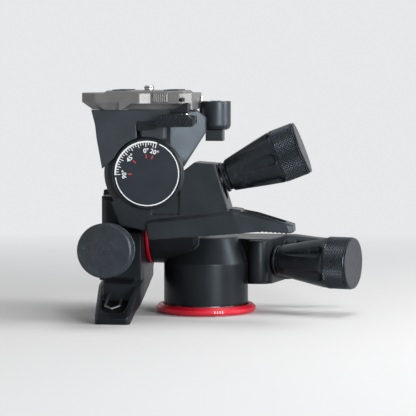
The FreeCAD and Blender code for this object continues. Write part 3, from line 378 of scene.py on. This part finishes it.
def scratchedCap(name):
    # thin crossing scratches over a dull dark disc
    look = {"colour": (0.014, 0.016, 0.0195), "smudged": (0.03, 0.034, 0.04), "scratch": (0.15, 0.16, 0.175),
            "gloss": 0.32, "lines": ((3.4 * mm, 0.0), (5.5 * mm, 3.0), (8.0 * mm, 7.0)), "lineDetail": 1.5,
            "lineRough": 0.5, "middle": 0.5, "thin": (0.0, 0.008), "keptSize": 0.9, "keptAt": (0.52, 0.66),
            "kept": (0.0, 0.3), "smudge": 6 * mm, "smudgeDetail": 5, "smudgeRough": 0.65,
            "smudgesAt": (0.35, 0.75), "smudges": (0.0, 0.6), "rough": (0.34, 0.52), "grain": 0.7 * mm,
            "strength": 0.2, "bump": 0.03 * mm, "edge": 1.2 * mm}
    material, tree, shader, place = startMaterial(name)
    coolGloss(shader, look["gloss"])
    lines = None
    for size, seed in look["lines"]:
        # a hair line where a cloud passes its middle value, kept in patches
        moved = mapped(tree, place, Location=(seed, seed, seed))
        cloud = noise(tree, moved, size, look["lineDetail"], look["lineRough"])
        off = maths(tree, "ABSOLUTE", maths(tree, "SUBTRACT", cloud, look["middle"]), 0)
        patches = noise(tree, moved, size * look["keptSize"], detail=2)
        kept = mapRange(tree, patches, look["keptAt"], look["kept"])
        thin = maths(tree, "MULTIPLY", mapRange(tree, off, look["thin"], (1.0, 0.0)), kept)
        lines = thin if lines is None else maths(tree, "MAXIMUM", lines, thin)
    smears = noise(tree, place, look["smudge"], look["smudgeDetail"], look["smudgeRough"])
    smudge = mapRange(tree, smears, look["smudgesAt"], look["smudges"])
    ground = mixColour(tree, smudge, look["colour"], look["smudged"])
    colourFrom(tree, shader, mixColour(tree, lines, ground, look["scratch"]))
    roughFrom(tree, shader, smudge, look["smudges"], look["rough"])
    grain = noise(tree, place, look["grain"], detail=3)
    bump(tree, shader, grain, look["strength"], look["bump"], softEdges(tree, look["edge"]))
    return material


def satinMetal(name, colour, metallic, rough, wear=0.3):
    look = {"cloud": 9 * mm, "cloudDetail": 5, "lighter": 1.25, "bright": 1.9, "patches": (0.35, 0.7),
            "rub": 0.4 * mm, "rubGrain": 2 * mm, "roughAt": (0.3, 0.7), "grain": 0.6 * mm, "strength": 0.25,
            "bump": 0.02 * mm, "edge": 0.4 * mm}
    material, tree, shader, place = startMaterial(name)
    shader.inputs["Metallic"].default_value = metallic
    cloud = noise(tree, place, look["cloud"], look["cloudDetail"])
    base = mixColour(tree, mapRange(tree, cloud, look["patches"]), colour, shade(colour, look["lighter"]))
    rubbed = maths(tree, "MULTIPLY", edgeWear(tree, look["rub"], place, look["rubGrain"]), wear)
    colourFrom(tree, shader, mixColour(tree, rubbed, base, shade(colour, look["bright"])))
    roughFrom(tree, shader, cloud, look["roughAt"], rough)
    grain = noise(tree, place, look["grain"], detail=3)
    bump(tree, shader, grain, look["strength"], look["bump"], softEdges(tree, look["edge"]))
    return material


def plainInk(name, colour, rough=0.55):
    look = {"cloud": 0.8 * mm, "fadedAt": (0.3, 0.75), "darker": 0.72}
    material, tree, shader, place = startMaterial(name)
    faded = mapRange(tree, noise(tree, place, look["cloud"], detail=3), look["fadedAt"])
    colourFrom(tree, shader, mixColour(tree, faded, colour, shade(colour, look["darker"])))
    shader.inputs["Roughness"].default_value = rough
    return material


def vialGlass(name):
    look = {"clear": 0.85, "ior": 1.45, "rough": 0.06, "cloud": 8 * mm, "tintAt": (0.3, 0.7),
            "green": (0.62, 0.86, 0.24), "yellow": (0.7, 0.9, 0.32)}
    material, tree, shader, place = startMaterial(name)
    shader.inputs["Transmission Weight"].default_value = look["clear"]
    shader.inputs["IOR"].default_value = look["ior"]
    shader.inputs["Roughness"].default_value = look["rough"]
    tint = mapRange(tree, noise(tree, place, look["cloud"], detail=2), look["tintAt"])
    colourFrom(tree, shader, mixColour(tree, tint, look["green"], look["yellow"]))
    return material


paints = {
    "casting": {"name": "blackCasting", "colour": (0.0092, 0.0107, 0.0126), "worn": (0.09, 0.097, 0.106),
                "rough": (0.32, 0.44), "gloss": 0.35},
    # a darker copy of the casting paint for the pan and tilt housings: painted shade for their hollows and
    # shaded sides
    "shadedCasting": {"name": "paintedShadeBlackCasting", "colour": (0.0052, 0.0061, 0.0073),
                    "worn": (0.08, 0.086, 0.094), "rough": (0.32, 0.44), "gloss": 0.2},
    # a paler copy of the casting paint for the platform neck: painted sheen from the lamps on its slanted
    # flank, with dust specks as on every casting
    "dustAndSheenCasting": {"name": "dustAndPaintedSheenCasting", "colour": (0.0205, 0.0236, 0.0274), "worn": (0.13, 0.139, 0.15),
                    "rough": (0.36, 0.46), "gloss": 0.38},
    "plastic": {"name": "blackPlastic", "colour": (0.004, 0.0046, 0.0055), "worn": (0.05, 0.054, 0.058),
                "rough": (0.3, 0.44), "wear": 0.6},
    "cupPlastic": {"name": "cupPlastic", "colour": (0.0105, 0.0122, 0.0143), "worn": (0.09, 0.097, 0.106),
                   "rough": (0.32, 0.44), "gloss": 0.4},
    "dial": {"name": "dialDisc", "colour": (0.0115, 0.0145, 0.0175), "worn": (0.05, 0.054, 0.058),
             "rough": (0.5, 0.6), "wear": 0.2},
    "pad": {"name": "padRubber", "colour": (0.012, 0.012, 0.013), "worn": (0.03, 0.03, 0.03),
            "rough": (0.6, 0.75), "wear": 0.2},
}
metals = {
    "red": {"name": "redRing", "colour": (0.42, 0.0035, 0.018), "metallic": 0.25, "rough": (0.32, 0.45),
            "wear": 0.1},
    "seat": {"name": "greySeat", "colour": (0.118, 0.117, 0.116), "metallic": 0.45, "rough": (0.36, 0.5),
             "wear": 0.5},
    "steel": {"name": "turnedSteel", "colour": (0.4, 0.4, 0.41), "metallic": 0.95, "rough": (0.22, 0.36)},
    "darkSteel": {"name": "bluedSteel", "colour": (0.1, 0.105, 0.115), "metallic": 0.9, "rough": (0.26, 0.4)},
    "bronze": {"name": "machinedBronze", "colour": (0.5, 0.33, 0.15), "metallic": 0.95, "rough": (0.25, 0.4)},
}
finishes = {
    "grip": gripRubber("gripRubber"),
    "knurl": knurlMetal("knurlMetal"),
    "cap": scratchedCap("scratchedCap"),
    "glass": vialGlass("vialGlass"),
    "bubble": plainInk("airBubble", (0.8, 0.9, 0.55), rough=0.15),
    "white": plainInk("whiteInk", (0.86, 0.88, 0.9)),
    "redInk": plainInk("redInk", (0.55, 0.025, 0.04)),
}
for finish, values in paints.items():
    finishes[finish] = castPaint(**values)
for finish, values in metals.items():
    finishes[finish] = satinMetal(**values)
print("finishes made:", len(finishes))

nodeFinish = {
    "casting": ["side_housing"],
    # the pan and tilt housings take the darker copy of the casting paint, as painted shade
    "shadedCasting": ["pan_housing", "tilt_housing", "tilt_cover"],
    "dustAndSheenCasting": ["platform_neck"],
    # the platform neck takes the paler copy of the casting paint: painted sheen, with dust
    "plastic": ["clamp_lever", "index_pointer", "safety_catch"],
    "cupPlastic": ["level_cup"],
    "dial": ["side_dial"],
    "red": ["pan_scale_ring", "tilt_red_ring"],
    "seat": ["plate_seat", "quick_plate", "seat_grip"],
    "pad": ["plate_pads"],
    "darkSteel": ["tilt_wire_clip"],
    "glass": ["level_vial"],
    "steel": ["camera_screw", "lever_pin", "base_screws", "tilt_cover_screws", "tilt_axle",
              "side_axle", "base_plate", "pan_spindle", "tripod_socket_bush"],
    "bronze": ["pan_bush", "tilt_bush", "side_bush"],
}
unitFinish = {
    "bronze": ["worm_wheel", "worm_bushes"],
    "steel": ["worm_shaft", "pivot_pin", "release_spring"],
    "casting": ["worm_carrier"],
    "plastic": ["knob_collars"],
    "cap": ["knob_cap"],
    "grip": ["knob_grip"],
    "knurl": ["knob_ring"],
}


def paint(name, finish):
    slots = nodes[name].data.materials
    slots.clear()
    slots.append(finishes[finish])


def dress(piece, body, finish, slot, *replaced):
    piece.data.materials.clear()
    piece.data.materials.append(finishes[finish])
    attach(piece, body)
    if replaced:
        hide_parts(*replaced)


for finish, names in nodeFinish.items():
    for name in names:
        paint(name, finish)
for finish, names in unitFinish.items():
    for name in names:
        for unit in units:
            paint(unit + "_" + name, finish)
print("nodes painted")


# knurled rings
def knurledRing():
    # made once along +Z; front and back are heights and radii of the rounded ends, down to the bore
    size = {"radius": 15.6 * mm, "valley": 0.5 * mm, "around": 50, "rows": 8, "low": 73.5 * mm,
            "high": 86.2 * mm,
            "front": [(86.4, 15.55), (86.7, 15.35), (86.88, 15.0), (86.88, 13.42)],
            "back": [(73.3, 15.55), (72.9, 15.45), (72.62, 15.1), (72.6, 13.42)]}
    root = size["radius"] - size["valley"]
    length = size["high"] - size["low"]
    deselectAll()
    bpy.ops.mesh.primitive_cylinder_add(vertices=size["around"], radius=root, depth=length,
                                        end_fill_type="NOTHING", location=(0, 0, size["low"] + length / 2))
    ring = bpy.context.object
    applyAll(ring)
    for row in range(1, size["rows"]):
        selectWhole(ring)
        height = size["low"] + length * row / size["rows"]
        bpy.ops.mesh.bisect(plane_co=(0, 0, height), plane_no=(0, 0, 1))
        leaveEdit()
    corners = len(ring.data.vertices)
    selectWhole(ring)
    bpy.ops.mesh.poke()
    leaveEdit()

    # without its upright and level edges the grid becomes diamonds
    def inGrid(edge):
        onRim = any(all(abs(end.z - rim) < near["edge"] for end in edgeEnds(ring, edge))
                    for rim in (size["low"], size["high"]))
        return max(edge.vertices) < corners and not onRim

    selectEdges(ring, inGrid)
    bpy.ops.mesh.dissolve_edges(use_verts=False)
    leaveEdit()
    valleys = len(ring.data.vertices)
    selectWhole(ring)
    bpy.ops.mesh.poke()
    leaveEdit()
    selectPoints(ring, lambda vertex: vertex.index >= valleys)
    bpy.ops.transform.shrink_fatten(value=size["valley"])
    leaveEdit()
    for name, height in (("front", size["high"]), ("back", size["low"])):
        radius = root
        for nextHeight, nextRadius in size[name]:
            selectPoints(ring, lambda vertex: abs(vertex.co.z - height) < near["loop"])
            drawRim(height, nextHeight * mm, nextRadius * mm / radius)
            height, radius = nextHeight * mm, nextRadius * mm
    selectPoints(ring, lambda vertex: abs(vertex.co.xy.length - radius) < near["same"])
    bpy.ops.mesh.bridge_edge_loops()
    faceOutward()
    return ring


master = knurledRing()
for unit in units:
    ring = named(copyOf(master), unit + "KnurledRing")
    standOnKnob(ring, unit)
    dress(ring, unit + "_knob", "knurl", "knurled_metal", unit + "_knob_ring")
bpy.data.objects.remove(master)
print("knurled rings done")


# faces of the end caps, with a turning mark in the middle
def endCap(unit):
    face = {"radius": 15.15 * mm, "low": 86.9 * mm, "high": 88.0 * mm, "round": 0.45 * mm, "rim": 1.3 * mm,
            "dish": 0.09 * mm}
    mark = {"radius": 0.9 * mm, "line": 0.13 * mm, "front": 87.9 * mm, "flat": 0.5}
    deselectAll()
    bpy.ops.mesh.primitive_cylinder_add(vertices=96, radius=face["radius"], depth=face["high"] - face["low"],
                                        location=(0, 0, (face["low"] + face["high"]) / 2))
    disc = named(bpy.context.object, unit + "CapFace")
    applyAll(disc)
    selectPoints(disc, lambda vertex: vertex.co.z > face["high"] - near["same"])
    bpy.ops.mesh.select_mode(type="FACE")
    bpy.ops.mesh.inset(thickness=face["rim"])
    bpy.ops.transform.translate(value=(0, 0, -face["dish"]))
    leaveEdit()
    roundEdges(disc, face["round"], segments=4, angle=60)
    smooth(disc, degrees=40)
    standOnKnob(disc, unit)
    dress(disc, unit + "_knob", "cap", "black_plastic")
    deselectAll()
    bpy.ops.mesh.primitive_torus_add(major_radius=mark["radius"], minor_radius=mark["line"],
                                     major_segments=32, minor_segments=8, location=(0, 0, mark["front"]))
    ring = named(bpy.context.object, unit + "CapMark")
    ring.scale.z = mark["flat"]
    applyAll(ring)
    smooth(ring, degrees=80)
    standOnKnob(ring, unit)
    dress(ring, unit + "_knob", "knurl", "black_plastic")


for unit in units:
    endCap(unit)
print("end caps done")


# the side dial's printing, in degrees clockwise from the top
dial = {"centre": Vector(joints["side_tilt"]["pos_m"]), "front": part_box("side_dial")[0].y, "ink": 0.05 * mm,
        "turn": 2.0, "ring": 18.4 * mm, "thin": 0.55 * mm, "thick": 0.95 * mm, "thickBand": (-91, 21),
        "thinBand": (25, 265), "bandStep": 3, "ticks": range(-90, 25, 5), "longEvery": 15, "lastTick": 20,
        "shortTick": 1.9 * mm, "longTick": 2.9 * mm, "tickWide": 0.4 * mm, "numbersAt": 13.1 * mm,
        "numbers": (("90°", -90), ("45°", -45), ("0°", 0), ("20°", 21.5)), "textSize": 3.6 * mm,
        "textBold": 0.05 * mm, "redAt": 9.9 * mm, "redLong": 2.1 * mm, "redWide": 0.6 * mm,
        "redTicks": (-90, -45, 0, 20)}


def dialTurn(degrees):
    return math.radians(degrees - dial["turn"])


def dialPoint(radius, degrees, depth):
    # a place on the dial, that far in front of its face
    angle = dialTurn(degrees)
    x = dial["centre"].x + radius * math.sin(angle)
    z = dial["centre"].z + radius * math.cos(angle)
    return x, dial["front"] - depth, z


def inkBand(name, radius, wide, fromDegrees, toDegrees):
    # a flat bar across the band, spun about the dial's axis
    deselectAll()
    bpy.ops.mesh.primitive_plane_add(size=1, location=dialPoint(radius, fromDegrees, dial["ink"] / 2),
                                     rotation=(0, dialTurn(fromDegrees) - math.pi / 2, 0))
    band = named(bpy.context.object, name)
    band.scale = (wide, dial["ink"], 1)
    applyAll(band)
    selectWhole(band)
    steps = int((toDegrees - fromDegrees) / dial["bandStep"])
    bpy.ops.mesh.spin(steps=steps, angle=math.radians(fromDegrees - toDegrees),
                      center=(dial["centre"].x, dial["front"], dial["centre"].z), axis=(0, 1, 0))
    faceOutward()
    return band


def inkMark(radius, degrees, long, wide):
    deselectAll()
    bpy.ops.mesh.primitive_cube_add(size=1, location=dialPoint(radius, degrees, dial["ink"] / 2),
                                    rotation=(0, dialTurn(degrees), 0))
    mark = bpy.context.object
    mark.scale = (wide, dial["ink"], long)
    applyAll(mark)
    return mark


def inkNumber(text, radius, degrees):
    deselectAll()
    bpy.ops.object.text_add(location=dialPoint(radius, degrees, dial["ink"]),
                            rotation=(math.pi / 2, dialTurn(degrees), 0))
    number = bpy.context.object
    number.data.body = text
    number.data.size = dial["textSize"]
    number.data.align_x = "CENTER"
    number.data.align_y = "CENTER"
    number.data.extrude = dial["ink"] / 2
    number.data.offset = dial["textBold"]
    number.data.resolution_u = 3
    bpy.ops.object.convert(target="MESH")
    number = bpy.context.object
    applyAll(number)
    return number


whiteMarks = []
for degrees in dial["ticks"]:
    isLong = degrees % dial["longEvery"] == 0 or degrees == dial["lastTick"]
    long = dial["longTick"] if isLong else dial["shortTick"]
    whiteMarks.append(inkMark(dial["ring"] - long / 2, degrees, long, dial["tickWide"]))
for text, degrees in dial["numbers"]:
    whiteMarks.append(inkNumber(text, dial["numbersAt"], degrees))
scale = joinPieces(whiteMarks, "dialScale")
redMarks = [inkMark(dial["redAt"], degrees, dial["redLong"], dial["redWide"]) for degrees in dial["redTicks"]]
redScale = joinPieces(redMarks, "dialRedMarks")
thickBand = inkBand("dialBandThick", dial["ring"], dial["thick"], *dial["thickBand"])
thinBand = inkBand("dialBandThin", dial["ring"], dial["thin"], *dial["thinBand"])
for piece, ink in ((scale, "white"), (redScale, "redInk"), (thickBand, "white"), (thinBand, "white")):
    dress(piece, "arm", ink, "dial_face")
print("dial printed")


# ribs on the clamp lever
def leverRibs():
    ribs = {"count": 10, "first": 3.2 * mm, "up": 3.9 * mm, "pitch": 1.75 * mm, "wide": 0.85 * mm,
            "tall": 5.4 * mm, "proud": 0.55 * mm, "lean": 28, "round": 0.22 * mm}
    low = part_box("clamp_lever")[0]
    deselectAll()
    bpy.ops.mesh.primitive_cube_add(size=1, location=(low.x + ribs["first"], low.y, low.z + ribs["up"]),
                                    rotation=(0, math.radians(ribs["lean"]), 0))
    rib = bpy.context.object
    rib.scale = (ribs["wide"], 2 * ribs["proud"], ribs["tall"])
    applyAll(rib)
    roundEdges(rib, ribs["round"], segments=2)
    copies = [rib]
    for step in range(1, ribs["count"]):
        copy = copyOf(rib)
        copy.location.x = step * ribs["pitch"]
        applyAll(copy)
        copies.append(copy)
    dress(joinPieces(copies, "leverRibs"), "clamp_lever", "plastic", "black_plastic")


leverRibs()
print("lever ribbed")


# threads that a camera and a tripod meet
def cameraThread():
    screw = {"core": 2.72 * mm, "crest": 3.175 * mm, "pitch": 1.27 * mm, "turns": 1.05, "neck": 2.5 * mm,
             "head": 8.0 * mm, "headTall": 2.4 * mm, "threadTall": 2.5 * mm, "lead": 0.35 * mm,
             "bite": 0.05 * mm}
    low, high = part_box("camera_screw")
    middle = (low + high) / 2
    deselectAll()
    bpy.ops.mesh.primitive_cylinder_add(vertices=48, radius=screw["head"], depth=screw["headTall"],
                                        location=(0, 0, low.z + screw["headTall"] / 2))
    body = bpy.context.object
    applyAll(body)
    headTop = low.z + screw["headTall"]
    threadFoot = high.z - screw["threadTall"]
    steps = [(headTop, screw["neck"]), (threadFoot, screw["neck"]), (threadFoot, screw["core"]),
             (high.z - screw["lead"], screw["core"]), (high.z, screw["core"] - screw["lead"])]
    drawUp(body, headTop, screw["head"], steps)
    ridge = helixRidge("cameraRidge", screw["crest"], screw["core"] - screw["bite"], screw["pitch"],
                       threadFoot + screw["pitch"] / 2, screw["turns"])
    whole = joinPieces([body, ridge], "cameraScrewThread")
    whole.location = (middle.x, middle.y, 0)
    applyAll(whole)
    dress(whole, "camera_screw", "steel", "steel", "camera_screw")


def socketThread():
    socket = {"outer": 6.6 * mm, "wall": 4.62 * mm, "crest": 3.97 * mm, "pitch": 1.5875 * mm,
              "lead": 0.5 * mm, "bite": 0.05 * mm, "start": 0.6}
    low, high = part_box("tripod_socket_bush")
    deselectAll()
    bpy.ops.mesh.primitive_cylinder_add(vertices=64, radius=socket["outer"], depth=high.z - low.z,
                                        end_fill_type="NOTHING", location=(0, 0, (low.z + high.z) / 2))
    bush = bpy.context.object
    applyAll(bush)
    radius, height = socket["outer"], low.z
    for nextHeight, nextRadius in ((low.z, socket["wall"] + socket["lead"]),
                                   (low.z + socket["lead"], socket["wall"]), (high.z, socket["wall"])):
        selectEdges(bush, lambda edge: all(onRing(end, height, radius, near["edge"])
                                           for end in edgeEnds(bush, edge)))
        drawRim(height, nextHeight, nextRadius / radius)
        radius, height = nextRadius, nextHeight
    selectPoints(bush, lambda vertex: abs(vertex.co.z - high.z) < near["same"])
    bpy.ops.mesh.bridge_edge_loops()
    faceOutward()
    turns = int((high.z - low.z - socket["pitch"]) / socket["pitch"])
    ridge = helixRidge("socketRidge", socket["crest"], socket["wall"] + socket["bite"], socket["pitch"],
                       low.z + socket["pitch"] * socket["start"], turns)
    dress(joinPieces([bush, ridge], "socketThread"), "base", "steel", "steel", "tripod_socket_bush")


cameraThread()
socketThread()
print("threads cut")


# round level
def levelPrinting():
    level = {"ring": 3.3 * mm, "ink": 0.2 * mm, "inkFlat": 0.5, "inkSunk": 0.6, "bubble": 2.3 * mm,
             "bubbleFlat": 0.4, "bubbleSunk": 1.25 * mm, "drift": 0.5 * mm}
    low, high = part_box("level_vial")
    middle = (low + high) / 2
    circlePlace = (middle.x, middle.y, high.z - level["ink"] * level["inkSunk"])
    deselectAll()
    bpy.ops.mesh.primitive_torus_add(major_radius=level["ring"], minor_radius=level["ink"],
                                     major_segments=48, minor_segments=8, location=circlePlace)
    circle = named(bpy.context.object, "levelCircle")
    circle.scale.z = level["inkFlat"]
    applyAll(circle)
    smooth(circle)
    dress(circle, "platform", "pad", "black_plastic")
    bubblePlace = (middle.x + level["drift"], middle.y, high.z - level["bubbleSunk"])
    deselectAll()
    bpy.ops.mesh.primitive_uv_sphere_add(segments=32, ring_count=16, radius=level["bubble"],
                                         location=bubblePlace)
    bubble = named(bpy.context.object, "levelBubble")
    bubble.scale.z = level["bubbleFlat"]
    applyAll(bubble)
    smooth(bubble, degrees=60)
    dress(bubble, "platform", "bubble", "vial")


def cupPin():
    # a spring pin on the cup's bracket
    pin = {"radius": 0.95 * mm, "tall": 4.2 * mm, "collar": 1.5 * mm, "collarTall": 1.1 * mm,
           "sunk": 1.0 * mm, "aside": 0.9 * mm, "tip": 0.4 * mm, "tipShare": 0.55}
    low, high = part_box("level_cup")
    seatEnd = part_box("plate_seat")[1]
    foot = high.z - pin["sunk"]
    deselectAll()
    bpy.ops.mesh.primitive_cylinder_add(vertices=32, radius=pin["collar"], depth=pin["collarTall"],
                                        location=(0, 0, foot + pin["collarTall"] / 2))
    post = bpy.context.object
    applyAll(post)
    collarTop = foot + pin["collarTall"]
    drawUp(post, collarTop, pin["collar"],
           [(collarTop, pin["radius"]), (foot + pin["tall"] - pin["tip"], pin["radius"]),
            (foot + pin["tall"], pin["radius"] * pin["tipShare"])])
    post.location = ((seatEnd.x + low.x) / 2 + pin["aside"], (low.y + high.y) / 2, 0)
    applyAll(post)
    smooth(named(post, "cupPin"))
    dress(post, "platform", "steel", "steel")


levelPrinting()
cupPin()
print("level done")


# rounded front of the pan worm housing
def pivotBarrel():
    barrel = {"x": 31.6 * mm, "y": -2.6 * mm, "half": 6.0 * mm, "deep": 5.6 * mm, "low": 18.4 * mm,
              "high": 44.0 * mm, "round": 1.3 * mm, "lean": -8, "sunk": 1.2 * mm}
    deselectAll()
    bpy.ops.mesh.primitive_cylinder_add(vertices=96, radius=1, depth=barrel["high"] - barrel["low"])
    post = named(bpy.context.object, "panPivotBarrel")
    post.scale = (barrel["half"], barrel["deep"], 1)
    applyAll(post)
    post.rotation_euler.z = math.radians(barrel["lean"])
    post.location = (barrel["x"], barrel["y"], (barrel["low"] + barrel["high"]) / 2)
    applyAll(post)
    roundEdges(post, barrel["round"], segments=4, angle=60)
    selectWhole(post)
    bpy.ops.mesh.bisect(plane_co=(barrel["x"], barrel["y"] + barrel["sunk"], 0), plane_no=(0, 1, 0),
                        clear_outer=True, use_fill=True)
    leaveEdit()
    smooth(post, degrees=40)
    # the barrel takes the darker copy of the casting paint, as painted shade
    dress(post, "pan_body", "shadedCasting", "black_casting")


pivotBarrel()
print("pan worm housing rounded")


# index marks on the red base ring
def ringMarks():
    marks = {"at": (17.0, 20.0, 23.0, 26.0), "up": 0.47, "long": 1.5 * mm, "wide": 0.35 * mm,
             "ink": 0.06 * mm}
    low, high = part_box("pan_scale_ring")
    pieces = []
    for degrees in marks["at"]:
        angle = math.radians(degrees)
        place = (high.x * math.sin(angle), -high.x * math.cos(angle), low.z + (high.z - low.z) * marks["up"])
        deselectAll()
        bpy.ops.mesh.primitive_cube_add(size=1, location=place, rotation=(0, 0, angle))
        mark = bpy.context.object
        mark.scale = (marks["wide"], 2 * marks["ink"], marks["long"])
        applyAll(mark)
        pieces.append(mark)
    dress(joinPieces(pieces, "ringMarks"), "base", "white", "red_ring")


ringMarks()
print("base ring marked")


# the room
room = {"half": 3.0, "below": 0.02 * mm, "floor": (0.74, 0.74, 0.745), "floorDark": 0.985,
        "floorRough": 0.8, "floorCloud": 0.4, "cloudAt": (0.3, 0.7), "far": (0.8, 0.81, 0.82), "world": 0.18,
        "shadowOut": (0.16, 0.6), "aim": (-0.01, -0.02, 0.07)}
lamps = {
    "keyFrontRight": {"place": (0.6, -0.84, 0.2), "size": (0.3, 0.42), "power": 10.5},
    "sideRight": {"place": (1.0, -0.08, 0.36), "size": (0.3, 0.6), "power": 11.5},
    "topSoft": {"place": (0.2, 0.05, 1.0), "size": (0.6, 0.45), "power": 4.2},
    "fillLeft": {"place": (-0.8, -0.6, 0.35), "size": (0.4, 0.6), "power": 0.6},
}
view = {"place": (0.152, -1.241, 0.149), "look": (0.0012, 0.0, 0.0627), "lens": 180.3, "sensor": 36,
        "far": 20}


def facing(place, target):
    return (Vector(target) - Vector(place)).to_track_quat("-Z", "Y").to_euler()


def seenRays(tree):
    # 1 for what the camera sees, straight, in gloss or through glass
    rays = addNode(tree, "ShaderNodeLightPath").outputs
    gloss = maths(tree, "MAXIMUM", rays["Is Glossy Ray"], rays["Is Transmission Ray"])
    return maths(tree, "MAXIMUM", rays["Is Camera Ray"], gloss)


def paleFloor():
    # close to the object the floor takes its shadow, and further out it runs into the background
    deselectAll()
    bpy.ops.mesh.primitive_plane_add(size=2 * room["half"], location=(0, 0, -room["below"]))
    floor = named(bpy.context.object, "floor")
    material, tree, shader, place = startMaterial("paleFloor")
    soft = mapRange(tree, noise(tree, place, room["floorCloud"], detail=3), room["cloudAt"])
    colourFrom(tree, shader, mixColour(tree, soft, shade(room["floor"], room["floorDark"]), room["floor"]))
    shader.inputs["Roughness"].default_value = room["floorRough"]
    reach = addNode(tree, "ShaderNodeVectorMath", operation="LENGTH")
    tree.links.new(place, reach.inputs[0])
    away = mapRange(tree, reach.outputs["Value"], room["shadowOut"])
    glow = addNode(tree, "ShaderNodeEmission", Strength=1.0)
    glow.inputs["Color"].default_value = (*room["far"], 1)
    mix = addNode(tree, "ShaderNodeMixShader")
    tree.links.new(maths(tree, "MULTIPLY", away, seenRays(tree)), mix.inputs["Fac"])
    tree.links.new(shader.outputs["BSDF"], mix.inputs[1])
    tree.links.new(glow.outputs["Emission"], mix.inputs[2])
    tree.links.new(mix.outputs["Shader"], tree.nodes["Material Output"].inputs["Surface"])
    floor.data.materials.append(material)


def paleWorld():
    world = bpy.data.worlds.new("studio")
    bpy.context.scene.world = world
    world.use_nodes = True
    tree = world.node_tree
    background = tree.nodes["Background"]
    background.inputs["Color"].default_value = (*room["far"], 1)
    strength = mapRange(tree, seenRays(tree), (0.0, 1.0), (room["world"], 1.0))
    tree.links.new(strength, background.inputs["Strength"])


def areaLamp(name, place, size, power):
    deselectAll()
    bpy.ops.object.light_add(type="AREA", location=place, rotation=facing(place, room["aim"]))
    lamp = bpy.context.object
    lamp.name = name
    lamp.data.shape = "RECTANGLE"
    lamp.data.size, lamp.data.size_y = size
    lamp.data.energy = power


def frontCamera():
    deselectAll()
    bpy.ops.object.camera_add(location=view["place"], rotation=facing(view["place"], view["look"]))
    camera = bpy.context.object
    camera.data.lens = view["lens"]
    camera.data.sensor_width = view["sensor"]
    camera.data.clip_end = view["far"]
    bpy.context.scene.camera = camera


paleFloor()
paleWorld()
for name, lamp in lamps.items():
    areaLamp(name, **lamp)
frontCamera()
bpy.context.scene.view_settings.view_transform = "Standard"
print("room and camera ready")
